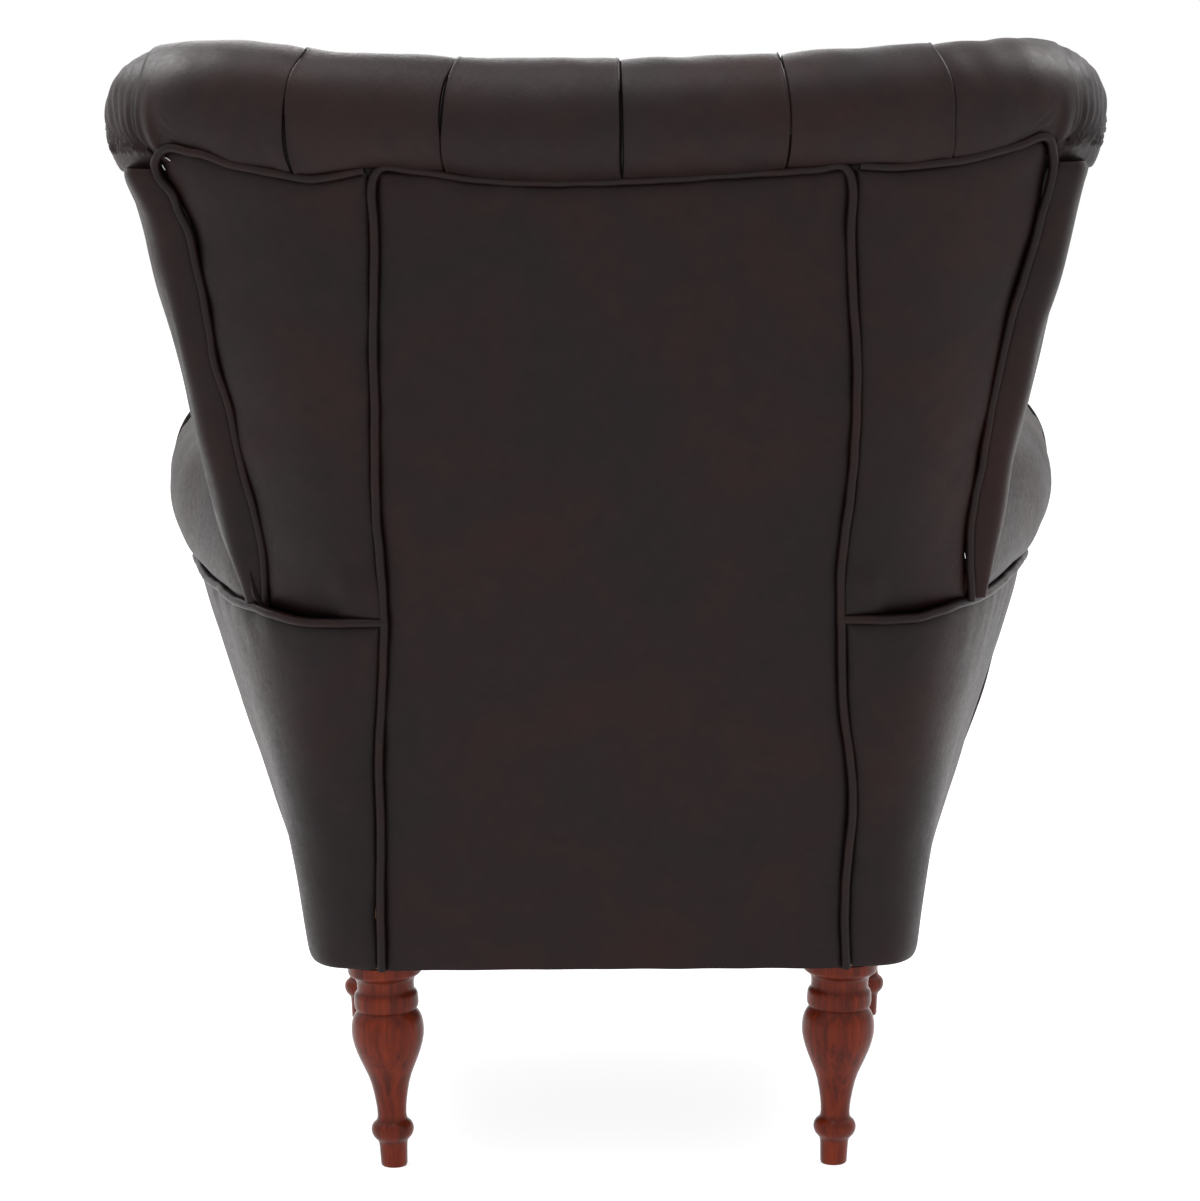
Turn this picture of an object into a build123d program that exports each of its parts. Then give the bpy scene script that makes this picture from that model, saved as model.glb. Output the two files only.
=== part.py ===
from build123d import *
import math
import os

# A bergere armchair with a high rolled back, side wings, scroll arms and turned legs.
# Lengths are in millimetres. X runs across the chair, +Y is its back and +Z is up.
# The left pieces are on the +X side, which is the left hand of someone sitting in it.
# Pieces are drawn with the foot of the outside back at rear_y, then moved to the middle of the floor plan.

# Heights
leg_height = 189.0
rail_height = 95.0
seam_height = 518.0
crown_height = 890.0
crown_rise = 27.0
seat_height = 333.0

# Leather, seams and room between soft pieces
leather = 4.0
clearance = 0.4
welt_radius = 4.0
welt_sides = 12
overrun = 60.0

# Outside of the body in plan, at the foot of the rails and at the arm seam
rear_y = 0.0
body_depth = 577.0
back_lean = 11.0
centre_half = 202.0
foot_corner_half = 260.0
foot_corner_set = 19.0
foot_front_half = 331.0
foot_near_bulge = 1.0
foot_flank_bulge = -2.0
seam_corner_half = 310.0
seam_corner_set = 50.0
seam_front_half = 425.0
seam_near_bulge = 16.0
seam_flank_bulge = 27.0
near_share = 0.14
flank_share = 0.45
inset_steps = 8

# Side panels of the outside back and the wings above them
side_sweep = 55.0
side_mid_share = 0.55
side_low_half = 310.0
side_mid_half = 331.0
side_high_half = 378.0
side_mid_height = 706.0
wing_low_proud = 22.0
wing_mid_proud = 42.0
wing_high_proud = 40.0
wing_low_reach = 150.0
wing_mid_reach = 168.0
wing_high_reach = 176.0
wing_edge = 74.0
wing_seat_angle = 41.0
wing_flare_shares = [(0.78, 0.3), (1.0, 0.7)]
wing_lip_share = 0.74

# Inside back and its tufts
back_low_depth = 128.0
back_mid_depth = 122.0
back_high_depth = 104.0
back_curve = 24.0
back_curve_shares = [0.3, 0.7, 1.0]
join_low_half = 242.0
join_mid_half = 262.0
join_high_half = 284.0
root_half = 210.0
tuft_radius = 34.0
tuft_depth = 17.0
tuft_pitch = 138.0
tuft_rise = 84.0
tuft_top_drop = 58.0
tuft_rows = 4
tuft_reach = 2
button_radius = 11.0
button_height = 6.0
button_sides = 12
button_room = 2.0
tuft_sides = 8

# Top roll
roll_depth = 58.0
roll_height = 53.0
roll_back = 34.0
roll_rise = 43.0
roll_lift = 17.0
roll_bays = 4
roll_half = 272.0
roll_pleat = 7.0
roll_end_half = 374.0
roll_end_reach = 156.0
roll_end_curve = 30.0
roll_bend_shares = [(0.22, 1.0), (0.45, 1.0), (0.7, 0.98), (0.9, 0.9), (1.0, 0.72)]
roll_tip_share = 0.5

# Arms, from the front to the rear corner
arm_inner_halves = [272.0, 259.0, 249.0, 245.0]
arm_overhangs = [33.0, 24.0, 12.0, 6.0]
arm_rises = [144.0, 135.0, 120.0, 92.0]
arm_slab = 30.0
arm_crown_shares = [(0.0, 0.66), (0.18, 0.93), (0.5, 1.0), (0.88, 0.83), (1.0, 0.42)]

# Arm fronts
facing_thick = 11.0
facing_low_half = 272.0
facing_low_over = 3.0
facing_waist_half = 356.0
facing_waist_height = 246.0
facing_belly_half = 393.0
facing_belly_height = 343.0
facing_neck_half = 412.0
facing_neck_height = 434.0
facing_chin_half = 433.0
facing_chin_height = 512.0
board_thick = 18.0
board_inset = 14.0

# Seat frame, back frame and arm frame
rail_thick = 24.0
border_thick = 15.0
block_wide = 76.0
block_deep = 62.0
back_post_half = 202.0
back_post_wide = 42.0
back_post_deep = 28.0
stile_wide = 34.0
stile_deep = 28.0
stile_set = 29.0
wing_post_wide = 28.0
wing_post_deep = 30.0
wing_post_set = 25.0
wing_post_top_set = 40.0
top_rail_high = 46.0
lumbar_rail_height = 404.0
lumbar_rail_high = 60.0
arm_rail_wide = 40.0
arm_rail_thick = 22.0
arm_rail_height = 566.0
arm_rail_front_set = 80.0
arm_rail_rear_set = 22.0
seam_rail_wide = 34.0
seam_rail_high = 22.0

# Webbing, cloths and deck
seat_strap_wide = 52.0
seat_strap_thick = 1.5
long_strap_count = 6
cross_strap_count = 5
back_strap_wide = 60.0
back_strap_thick = 2.0
back_strap_pitch = 92.0
back_strap_rise = 42.0
back_strap_gap = 2.0
cloth_thick = 1.5
dust_thick = 1.5

# Loose seat cushion
cushion_thick = 128.0
cushion_crown = 12.0
cushion_proud = 26.0
cushion_gap = 4.0
cushion_corner = 42.0
cushion_skin = 2.0
cushion_edge = 20.0
cushion_pull = 14.0
cushion_waist = 3.0
cushion_dome = 110.0

# Turned legs: heights above the floor and radii
front_leg_half = 265.0
front_leg_set = 36.0
rear_leg_half = 205.0
rear_leg_set = 36.0
rear_leg_lean = 1.8
foot_radius = 12.9
foot_height = 25.0
foot_room = 4.0
low_ring_radius = 18.7
low_ring_height = 16.0
ankle_radius = 12.4
ankle_height = 48.0
bulb_radius = 32.2
bulb_height = 121.0
throat_radius = 25.0
throat_height = 142.0
high_ring_radius = 28.6
high_ring_height = 18.0
neck_radius = 23.8
neck_height = 169.0
collar_radius = 33.5
collar_height = 10.0
swell_share = 0.72
waist_out_share = 0.36
waist_up_share = 0.5
bolt_radius = 4.0
bolt_sides = 12
bolt_room = 0.3
bolt_rise = 40.0
bolt_depth = 45.0

# Places that follow from the sizes above
lean_slope = math.tan(math.radians(back_lean))
welt_turn = 180.0 / welt_sides
rail_foot = leg_height + dust_thick
rail_top = rail_foot + rail_height
front_y = rear_y - body_depth
facing_front = front_y - facing_thick
border_back = facing_front + border_thick
seam_top = seam_height + welt_radius
seam_foot = seam_height - welt_radius
crown_top = crown_height + crown_rise
strap_level = rail_top + seat_strap_thick
cloth_foot = strap_level + seat_strap_thick
deck_foot = cloth_foot + cloth_thick
pad_foot = deck_foot + clearance
post_face = leather + back_post_deep
pad_set = post_face + back_strap_thick
body_span = 2 * (side_high_half + overrun)
above_all = crown_top + 2 * overrun
cushion_foot = seat_height + clearance
back_levels = [seam_top, side_mid_height, crown_top]


def back_y(z):
    """Rearmost line of the outside back at height z."""
    return rear_y + (z - leg_height) * lean_slope


def crown_z(x):
    """Height of the seam between the outside back and the top roll."""
    return crown_height + crown_rise * abs(x) / side_high_half


def between(low, high, share):
    return low + (high - low) * share


def ruled(sections):
    return loft(sections, ruled=True)


def level_face(z, points):
    """A closed face at height z with straight sides."""
    return make_face(Polyline(*[(x, y, z) for x, y in points], close=True))


def prism(z0, z1, points):
    return extrude(level_face(z0, points), amount=z1 - z0)


def side_profile(points, from_x, to_x):
    """A solid drawn as (y, z) points and stretched along X."""
    face = make_face(Polyline(*[(from_x, y, z) for y, z in points], close=True))
    return extrude(face, amount=to_x - from_x, dir=(1, 0, 0))


def front_profile(points, from_y, to_y):
    """A solid drawn as (x, z) points and stretched along Y."""
    face = make_face(Polyline(*[(x, from_y, z) for x, z in points], close=True))
    return extrude(face, amount=to_y - from_y, dir=(0, 1, 0))


def block(x0, x1, y0, y1, z0, z1):
    return Pos((x0 + x1) / 2, (y0 + y1) / 2, (z0 + z1) / 2) * Box(x1 - x0, y1 - y0, z1 - z0)


def leaning_slab(x0, x1, z0, z1, near, far):
    """A slab that leans with the back, between two depths in from its outside face."""
    foot = [(back_y(z0) - far, z0), (back_y(z0) - near, z0)]
    head = [(back_y(z1) - near, z1), (back_y(z1) - far, z1)]
    return side_profile(foot + head, x0, x1)


def beam(start, end, wide, deep, side=(1, 0, 0)):
    """A straight timber from start to end, wide along side and deep across it."""
    first, last = Vector(*start), Vector(*end)
    along = last - first
    across = Vector(*side)
    across = (across - along * (across.dot(along) / along.dot(along))).normalized()
    section = Plane(origin=first, x_dir=across, z_dir=along) * Rectangle(wide, deep)
    return extrude(section, amount=along.length)


def shifted(start, end, reach):
    """The point that lies reach beyond end on the line from start."""
    first, last = Vector(*start), Vector(*end)
    return tuple(last + (last - first).normalized() * reach)


def welt_round(start):
    """Section of a welt, with a flat towards each leather that it lies against."""
    return start * RegularPolygon(welt_radius, welt_sides, major_radius=False, rotation=welt_turn)


def welt(path, start=None):
    """A welt along a level path, or from a given start plane."""
    along = path % 0
    level = Plane(origin=path @ 0, x_dir=(along.Y, -along.X, 0), z_dir=along)
    return sweep(welt_round(start or level), path=path)


def mirrored(shape):
    return mirror(shape, about=Plane.YZ)


def biggest(shape):
    return max(shape.solids(), key=lambda solid: solid.volume)


def below_crown(drop):
    """Everything below the crown seam lowered by drop."""
    ridge = crown_height - drop
    eave = crown_z(body_span) - drop
    outline = [(0, ridge), (body_span, eave), (body_span, 0), (-body_span, 0), (-body_span, eave)]
    return front_profile(outline, front_y - overrun, back_y(crown_top) + overrun)


def wing_seat():
    """Everything below the sloping joint where a wing stands on the rear of its arm."""
    slope = math.tan(math.radians(wing_seat_angle))
    foot_y = back_y(seam_top) - side_sweep
    rear = back_y(crown_top) + overrun
    front = front_y - overrun
    low, high = seam_top - (rear - foot_y) * slope, seam_top + (foot_y - front) * slope
    return side_profile([(front, 0), (rear, 0), (rear, low), (front, high)], 0, body_span)


def plan_points(level):
    """Points of the left side of the body's outline in plan, from the centre panel round to the front."""
    share = (level - leg_height) / (seam_height - leg_height)
    corner = (
        between(foot_corner_half, seam_corner_half, share),
        back_y(level) - between(foot_corner_set, seam_corner_set, share),
    )
    front = (between(foot_front_half, seam_front_half, share), front_y)
    near_bulge = between(foot_near_bulge, seam_near_bulge, share)
    flank_bulge = between(foot_flank_bulge, seam_flank_bulge, share)
    near = (between(corner[0], front[0], near_share) + near_bulge, between(corner[1], front_y, near_share))
    flank_x = between(corner[0], front[0], flank_share) + flank_bulge
    flank = (flank_x, between(corner[1], front_y, flank_share))
    return [(centre_half, back_y(level)), corner, near, flank, front]


def plan_curve(level, inset):
    """The outline on the left side, moved inwards, from the centre panel's welt to the front."""
    points = [(x, y, level) for x, y in plan_points(level)]
    outline = Spline(*points)
    moved = []
    for step in range(inset_steps + 1):
        here, along = outline @ (step / inset_steps), outline % (step / inset_steps)
        moved.append(here + Vector(along.Y, -along.X, 0) * inset)
    moved[0] = Vector(centre_half + welt_radius, back_y(level) - inset, level)
    moved[-1] = Vector(moved[-1].X, front_y, level)
    return Spline(*moved)


def closed_strip(outer, inner):
    ends = [Line(outer @ 0, inner @ 0).edge(), Line(outer @ 1, inner @ 1).edge()]
    return make_face(Wire([outer.edge(), inner.edge()] + ends))


def plan_strip(level, near, far):
    """A closed strip of the plan between two insets."""
    return closed_strip(plan_curve(level, near), plan_curve(level, far))


def flared_wall(near, far, z0=leg_height, z1=seam_foot):
    """A wall that follows the flared outside of the arm between two insets and two heights."""
    wall = ruled([plan_strip(leg_height, near, far), plan_strip(seam_foot, near, far)])
    if z0 == leg_height and z1 == seam_foot:
        return wall
    return wall & block(0, body_span, front_y, body_span, z0, z1)


def side_half(z):
    """Half width across the outer welts of the back at height z."""
    if z <= side_mid_height:
        return between(side_low_half, side_mid_half, (z - seam_top) / (side_mid_height - seam_top))
    return between(side_mid_half, side_high_half, (z - side_mid_height) / (crown_top - side_mid_height))


def side_edge(level, inset):
    """Plan curve of a side panel of the outside back."""
    rear, edge = back_y(level) - inset, side_half(level) - welt_radius
    start = centre_half + welt_radius
    middle = (between(start, edge, side_mid_share), rear - side_sweep * side_mid_share**2, level)
    return Spline((start, rear, level), middle, (edge, rear - side_sweep, level))


def outside_back_centre():
    half = centre_half - welt_radius
    return leaning_slab(-half, half, leg_height, crown_top, 0, leather) & below_crown(2 * welt_radius)


def side_wall(near, far):
    """A wall that follows a side panel of the outside back between two insets."""
    return ruled([closed_strip(side_edge(z, near), side_edge(z, far)) for z in back_levels])


def outside_back_side():
    return side_wall(0, leather) & below_crown(2 * welt_radius)


def upright_welt(x_of, sweep_in, levels):
    """A welt that rises along the back, as horizontal rounds at each level."""
    rounds = [welt_round(Pos(x_of(z), back_y(z) - sweep_in, z)) for z in levels]
    return ruled(rounds) & below_crown(2 * welt_radius)


def seam_welt():
    run = welt(plan_curve(seam_height, 0))
    return run & block(0, body_span, front_y, body_span, 0, above_all)


def crown_welt():
    """The welt below the roll, from one wing to the other."""
    halves = []
    places = [0, centre_half, between(centre_half, side_high_half, 0.5), side_high_half - 2 * welt_radius]
    points = []
    for x in places:
        z = crown_z(x) - welt_radius
        share = max(0, x - centre_half) / (side_half(z) - centre_half)
        points.append((x, back_y(z) - side_sweep * share**2, z))
    path = Spline(*points)
    half = welt(path, Plane(origin=path @ 0, z_dir=(1, 0, 0)))
    return half + mirrored(half)


def wing():
    """The padded wing between the outside back and the inside back."""
    sections = []
    prouds = [wing_low_proud, wing_mid_proud, wing_high_proud]
    reaches = [wing_low_reach, wing_mid_reach, wing_high_reach]
    joins = [join_low_half, join_mid_half, join_high_half]
    for z, proud, reach, join in zip(back_levels, prouds, reaches, joins):
        rear, half = back_y(z) - side_sweep, side_half(z)
        lip = half + proud - wing_edge
        seat = (join, back_y(z) - back_depth(z) - back_curve, z)
        root = (root_half, back_y(z) - pad_set, z)
        heel = (half - welt_radius, rear - leather, z)
        skin = [(half + welt_radius, rear - leather, z)]
        skin += [(half + proud * out, rear - reach * forward, z) for out, forward in wing_flare_shares]
        skin += [(lip + wing_edge / 2, rear - reach, z), (lip, rear - reach * wing_lip_share, z), seat]
        outline = Spline(*skin)
        rest = Polyline(seat, root, heel, skin[0])
        sections.append(make_face(Wire([outline.edge()] + list(rest.edges()))))
    return (ruled(sections) & below_crown(0)) - wing_seat()


def back_depth(z):
    """Thickness of the stuffed back at its middle, from the outside back."""
    if z <= side_mid_height:
        return between(back_low_depth, back_mid_depth, (z - seat_height) / (side_mid_height - seat_height))
    return between(back_mid_depth, back_high_depth, (z - side_mid_height) / (crown_top - side_mid_height))


def join_half(z):
    """Half width of the inside back at height z."""
    if z <= seam_top:
        return join_low_half
    if z <= side_mid_height:
        return between(join_low_half, join_mid_half, (z - seam_top) / (side_mid_height - seam_top))
    return between(join_mid_half, join_high_half, (z - side_mid_height) / (crown_top - side_mid_height))


def tuft_places():
    """Places of the buttons on the inside back, in staggered rows."""
    places = []
    for row in range(tuft_rows):
        z = crown_height - tuft_top_drop - row * tuft_rise
        offset = tuft_pitch / 2 if row % 2 else 0
        for step in range(-tuft_reach, tuft_reach + 1):
            x = step * tuft_pitch + offset
            if abs(x) < join_half(z) - tuft_radius:
                share = abs(x) / join_half(z)
                places.append((x, back_y(z) - back_depth(z) - back_curve * share**2, z))
    return places


def inside_back():
    """The stuffed inside back, drawn in by its buttons."""
    sections = []
    for z in [pad_foot, seat_height, seam_top, side_mid_height, crown_top]:
        front = back_y(z) - back_depth(z)
        join, rear = join_half(z), back_y(z) - pad_set
        left = [(join * out, front - back_curve * out**2, z) for out in back_curve_shares]
        right = [(-x, y, z) for x, y, z in reversed(left)]
        outline = Polyline(*right, *left, (root_half, rear, z), (-root_half, rear, z), close=True)
        sections.append(make_face(outline))
    pad = ruled(sections) & below_crown(0)
    tufts = [Pos(x, y + tuft_depth, z) * Rot(90, 0, 0) * tuft() for x, y, z in tuft_places()]
    return pad - tufts


def tuft():
    """The hollow that a button pulls into the inside back."""
    floor = RegularPolygon(button_radius + button_room, tuft_sides)
    mouth = Pos(0, 0, 2 * tuft_depth) * RegularPolygon(2 * tuft_radius - button_radius, tuft_sides)
    return ruled([floor, mouth])


def tuft_buttons():
    """Covered buttons at the bottom of the tufts."""
    button = extrude(RegularPolygon(button_radius, button_sides), amount=button_height)
    return [Pos(x, y + tuft_depth, z) * Rot(90, 0, 0) * button for x, y, z in tuft_places()]


def roll_section(x, y, z, turn, deep, high):
    """A slice across the roll that faces along its run."""
    across = (-math.sin(turn), math.cos(turn), 0)
    along = (math.cos(turn), math.sin(turn), 0)
    return Plane(origin=(x, y, z), x_dir=across, z_dir=along) * Ellipse(deep, high)


def top_roll():
    """The pleated roll along the top of the back, down to the tips of the wings."""
    centre = back_y(crown_height) + roll_back - roll_depth
    sections = []
    stops = 2 * roll_bays
    for step in range(stops + 1):
        x = between(-roll_half, roll_half, step / stops)
        pleat = 0 if step % 2 else roll_pleat
        y = centre - roll_end_curve * (abs(x) / roll_half) ** 3
        z = crown_height + roll_rise + roll_lift * (abs(x) / roll_half) ** 2
        sections.append(roll_section(x, y, z, 0, roll_depth - pleat, roll_height - pleat))
    bend_x = roll_half
    bend_y = centre - roll_end_curve
    end = []
    for turn_share, size_share in roll_bend_shares:
        turn = -turn_share * math.pi / 2
        x = bend_x + (roll_end_half - bend_x) * math.sin(-turn)
        y = bend_y - roll_end_reach * (1 - math.cos(turn))
        z = crown_height + roll_rise + roll_lift * between(1, roll_tip_share, turn_share)
        end.append(roll_section(x, y, z, turn, roll_depth * size_share, roll_height * size_share))
    start = [mirror(section, about=Plane.YZ) for section in reversed(end)]
    return ruled(start + sections + end) - below_crown(0)


def arm_pad():
    """The stuffed arm with its outward scroll, from the facing to the rear corner."""
    sections = []
    plan = reversed(plan_points(seam_height)[1:])
    for (seam_x, y), inner, over, rise in zip(plan, arm_inner_halves, arm_overhangs, arm_rises):
        span = seam_x + over - inner
        crown = [(inner + span * across, y, seam_top + rise * up) for across, up in arm_crown_shares]
        outline = Spline(*crown, (seam_x, y, seam_top))
        slab = inner + arm_slab
        under = [(seam_x, y, seam_top), (slab, y, seam_top), (slab, y, pad_foot), (inner, y, pad_foot)]
        rest = Polyline(*under, crown[0])
        sections.append(make_face(Wire([outline.edge()] + list(rest.edges()))))
    return ruled(sections) & wing_seat()


def facing_points():
    """The outer edge of an arm front, from its foot to the scroll."""
    plan = plan_points(leg_height)[-1]
    return [
        (plan[0] + facing_low_over, leg_height),
        (facing_waist_half, facing_waist_height),
        (facing_belly_half, facing_belly_height),
        (facing_neck_half, facing_neck_height),
        (facing_chin_half, facing_chin_height),
    ]


def facing_face(y, inset):
    """Outline of the arm front at depth y, drawn in by inset."""
    inner, rise, over = arm_inner_halves[0], arm_rises[0], arm_overhangs[0]
    edge = facing_points()
    scroll = seam_front_half + over
    span = scroll - inner
    low = [(x - inset, y, z) for x, z in edge]
    low[0] = (low[0][0], y, leg_height + (dust_thick if inset else 0))
    outer = Spline(*low)
    crown = []
    for across, up in reversed(arm_crown_shares):
        x = inner + inset + (span - 2 * inset) * across
        crown.append((x, y, seam_top + (rise - inset) * up))
    over_top = Spline(low[-1], *crown)
    foot = (facing_low_half + inset, y, low[0][2])
    rest = Polyline(over_top @ 1, foot, low[0])
    return make_face(Wire([outer.edge(), over_top.edge()] + list(rest.edges())))


def arm_facing():
    """The leather covered front of an arm."""
    return extrude(facing_face(facing_front, 0), amount=facing_thick, dir=(0, 1, 0))


def arm_board():
    """The sawn board behind an arm front."""
    board = extrude(facing_face(front_y, board_inset), amount=board_thick, dir=(0, 1, 0))
    return biggest(board - flared_wall(-post_face, leather) - seam_welt())


def front_seat_rail():
    half = facing_low_half + board_inset
    return block(-half, half, border_back, border_back + rail_thick, rail_foot, rail_top)


def rear_seat_rail():
    half = back_post_half + back_post_wide / 2
    rail = leaning_slab(-half, half, rail_foot, rail_top, leather, leather + rail_thick)
    outside = flared_wall(-post_face, leather)
    return rail - outside - mirrored(outside)


def side_seat_rail():
    wall = flared_wall(leather, leather + rail_thick, rail_foot, rail_top)
    keep = block(back_post_half + back_post_wide / 2, body_span, front_y + board_thick, body_span, 0, above_all)
    return wall & keep


def corner_blocks(side_rail, front_rail, rear_rail, board):
    """Glued blocks in the corners of the seat frame, bored for the leg bolts."""
    front_rail_back = border_back + rail_thick
    rear_rail_front = rear_y - leather - rail_thick
    blanks = [
        (front_leg_half, front_rail_back - rail_thick / 2, front_rail_back + block_deep),
        (rear_leg_half, rear_rail_front - block_deep, rear_rail_front + rail_thick / 2),
    ]
    blocks = []
    for x, y0, y1 in blanks:
        blank = block(x - block_wide / 2, x + block_wide / 2, y0, y1, rail_foot, rail_top)
        blank = blank - side_rail - front_rail - rear_rail - board
        blocks.append(biggest(blank))
    return [blank - bolt_bores() for blank in blocks]


def leg_places():
    return [(front_leg_half, front_y + front_leg_set), (rear_leg_half, rear_y - rear_leg_set)]


def bolt_bores():
    """Bores for the leg bolts on the left side."""
    rise = bolt_rise + bolt_depth + 2 * bolt_room
    bore = extrude(RegularPolygon(bolt_radius + bolt_room, bolt_sides, major_radius=False), amount=rise)
    places = [Pos(x, y, leg_height - bolt_depth - bolt_room) * bore for x, y in leg_places()]
    return places[0] + places[1]


def leg_bolts():
    bolt = extrude(RegularPolygon(bolt_radius, bolt_sides, major_radius=False), amount=bolt_rise + bolt_depth)
    left = [Pos(x, y, leg_height - bolt_depth) * bolt for x, y in leg_places()]
    return left + [mirrored(piece) for piece in left]


def turned_leg():
    """One turned leg about its own axis: foot, ring, vase, ring, neck and collar."""
    low_ring_top = foot_height + low_ring_height
    high_ring_top = throat_height + high_ring_height
    low_ring_middle = (low_ring_radius, foot_height + low_ring_height / 2)
    high_ring_middle = (high_ring_radius, throat_height + high_ring_height / 2)
    ankle, belly = (ankle_radius, ankle_height), (bulb_radius, bulb_height)
    swell_radius = between(ankle_radius, bulb_radius, swell_share)
    swell = (swell_radius, between(ankle_height, bulb_height, swell_share))
    waist_radius = between(ankle_radius, swell_radius, waist_out_share)
    waist = (waist_radius, between(ankle_height, swell[1], waist_up_share))
    throat = (throat_radius, throat_height)
    foot = [(foot_radius, -foot_room), (foot_radius, foot_height)]
    stem = Polyline(*foot, low_ring_middle, (ankle_radius, low_ring_top), ankle)
    vase = [ThreePointArc(ankle, waist, swell), ThreePointArc(swell, belly, throat)]
    collar_foot = leg_height - collar_height
    cap = Polyline(
        throat,
        high_ring_middle,
        (neck_radius, high_ring_top),
        (neck_radius, neck_height),
        (collar_radius, collar_foot),
        (collar_radius, leg_height),
        (0, leg_height),
        (0, -foot_room),
        (foot_radius, -foot_room),
    )
    outline = Wire(list(stem.edges()) + [arc.edge() for arc in vase] + list(cap.edges()))
    return revolve(make_face(Plane.XZ * outline), axis=Axis.Z)


def back_post():
    inner, outer = back_post_half - back_post_wide / 2, back_post_half + back_post_wide / 2
    post = leaning_slab(inner, outer, rail_top, crown_top, leather, post_face) & below_crown(0)
    return post - side_wall(-post_face, leather) - flared_wall(-post_face, leather) - crown_welt()


def corner_stile():
    """Upright at the rear corner, from the side rail to the arm rail."""
    foot = (foot_corner_half - stile_set, rear_y - stile_set, rail_top)
    top_z = arm_rail_height - arm_rail_thick / 2
    top = (side_low_half - stile_set, arm_rail_end()[1] - stile_deep / 2, top_z)
    tall = beam(shifted(top, foot, overrun), shifted(foot, top, overrun), stile_wide, stile_deep)
    return tall & block(0, body_span, front_y, body_span, rail_top, top_z)


def arm_rail_end():
    y = back_y(arm_rail_height) - side_sweep - leather
    return (side_low_half - arm_rail_rear_set, y, arm_rail_height)


def arm_rail():
    """Flat timber inside the scroll, from the board to the rear corner."""
    start = (seam_front_half - arm_rail_front_set, front_y + board_thick - overrun, arm_rail_height)
    rail = beam(start, shifted(start, arm_rail_end(), overrun), arm_rail_wide, arm_rail_thick)
    return rail & block(0, body_span, front_y + board_thick, arm_rail_end()[1], 0, above_all)


def wing_post():
    """Upright that carries the edge of a wing, from the arm rail to the top."""
    z0 = arm_rail_height + arm_rail_thick / 2
    set_in = side_sweep + leather + wing_post_deep / 2
    foot = (side_low_half - wing_post_set, back_y(z0) - set_in, z0)
    head = (side_high_half - wing_post_top_set, back_y(crown_top) - set_in, crown_top)
    tall = beam(shifted(head, foot, overrun), shifted(foot, head, overrun), wing_post_wide, wing_post_deep)
    return (tall & below_crown(0)) & block(0, body_span, front_y, body_span, z0, above_all)


def back_top_rail():
    """The rail across the top of the back, between the back posts."""
    half = back_post_half - back_post_wide / 2
    rail = leaning_slab(-half, half, crown_height - 2 * top_rail_high, crown_top, leather, post_face)
    return (rail & below_crown(0)) - below_crown(top_rail_high) - crown_welt()


def wing_top_rail(post, wing_upright):
    """The short rail from a back post forward to a wing post."""
    z = crown_height
    start = (back_post_half, back_y(z) - leather - back_post_deep, z)
    end = (side_high_half - wing_post_top_set, back_y(z) - side_sweep - leather - wing_post_deep / 2, z)
    rail = beam(start, end, back_post_deep, 2 * overrun, (0, 1, 0))
    rail = (rail & below_crown(0)) - below_crown(top_rail_high)
    return biggest(rail - post - wing_upright)


def lumbar_rail():
    half = back_post_half - back_post_wide / 2
    top = lumbar_rail_height + lumbar_rail_high
    return leaning_slab(-half, half, lumbar_rail_height, top, leather, post_face)


def seam_rail(stile):
    """Bent rail below the arm seam that the outside leather is tacked to."""
    wall = flared_wall(leather, leather + seam_rail_wide, seam_foot - seam_rail_high, seam_foot)
    keep = block(0, body_span, front_y + board_thick, rear_y - stile_set, 0, above_all)
    return biggest((wall & keep) - stile)


def seat_straps():
    """Webbing across the seat frame: long straps on the rails, cross straps over them."""
    y0, y1 = border_back, rear_y - leather
    pitch = 2 * (facing_low_half - seat_strap_wide) / (long_strap_count - 1)
    inner = 2 * (back_post_half - back_post_wide / 2 - seat_strap_wide / 2) / (long_strap_count - 1)
    long_straps = []
    for step in range(long_strap_count):
        x_front = (step - (long_strap_count - 1) / 2) * pitch
        x_rear = (step - (long_strap_count - 1) / 2) * inner
        half = seat_strap_wide / 2
        outline = [(x_front - half, y0), (x_front + half, y0), (x_rear + half, y1), (x_rear - half, y1)]
        long_straps.append(prism(rail_top, strap_level, outline))
    cross_straps = []
    gap = (y1 - y0 - 2 * block_deep - seat_strap_wide / 2) / (cross_strap_count - 1)
    for step in range(cross_strap_count):
        y = y0 + block_deep + step * gap
        share = (y - front_y) / body_depth
        half = between(foot_front_half, foot_corner_half, share) - rail_thick
        near, far = y - seat_strap_wide / 2, y + seat_strap_wide / 2
        cross_straps.append(block(-half, half, near, far, strap_level, cloth_foot))
    return long_straps, cross_straps


def back_straps():
    """Webbing from post to post inside the back, between the lumbar rail and the top rail."""
    half = back_post_half + back_post_wide / 2
    first = lumbar_rail_height + lumbar_rail_high + back_strap_rise
    last = crown_height - top_rail_high - back_strap_gap - back_strap_wide
    bays = round((last - first) / back_strap_pitch)
    straps = []
    for step in range(bays + 1):
        z = between(first, last, step / bays)
        straps.append(leaning_slab(-half, half, z, z + back_strap_wide, post_face, pad_set))
    return straps


def deck_outline(gap):
    """Half widths of the seat between the arms, as plan points from the front to the rear."""
    front, rear = arm_inner_halves[0] - gap, join_low_half - gap
    y0 = border_back + gap
    y1 = back_y(seat_height) - back_low_depth - back_curve - gap
    return [(-front, y0), (front, y0), (rear, y1), (-rear, y1)]


def deck_cloth():
    return prism(cloth_foot, deck_foot, deck_outline(clearance))


def deck_pad():
    return prism(deck_foot, seat_height, deck_outline(clearance))


def front_border():
    """The padded band across the front of the seat."""
    half = facing_low_half - clearance
    return block(-half, half, facing_front, border_back, leg_height, seat_height)


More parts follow.
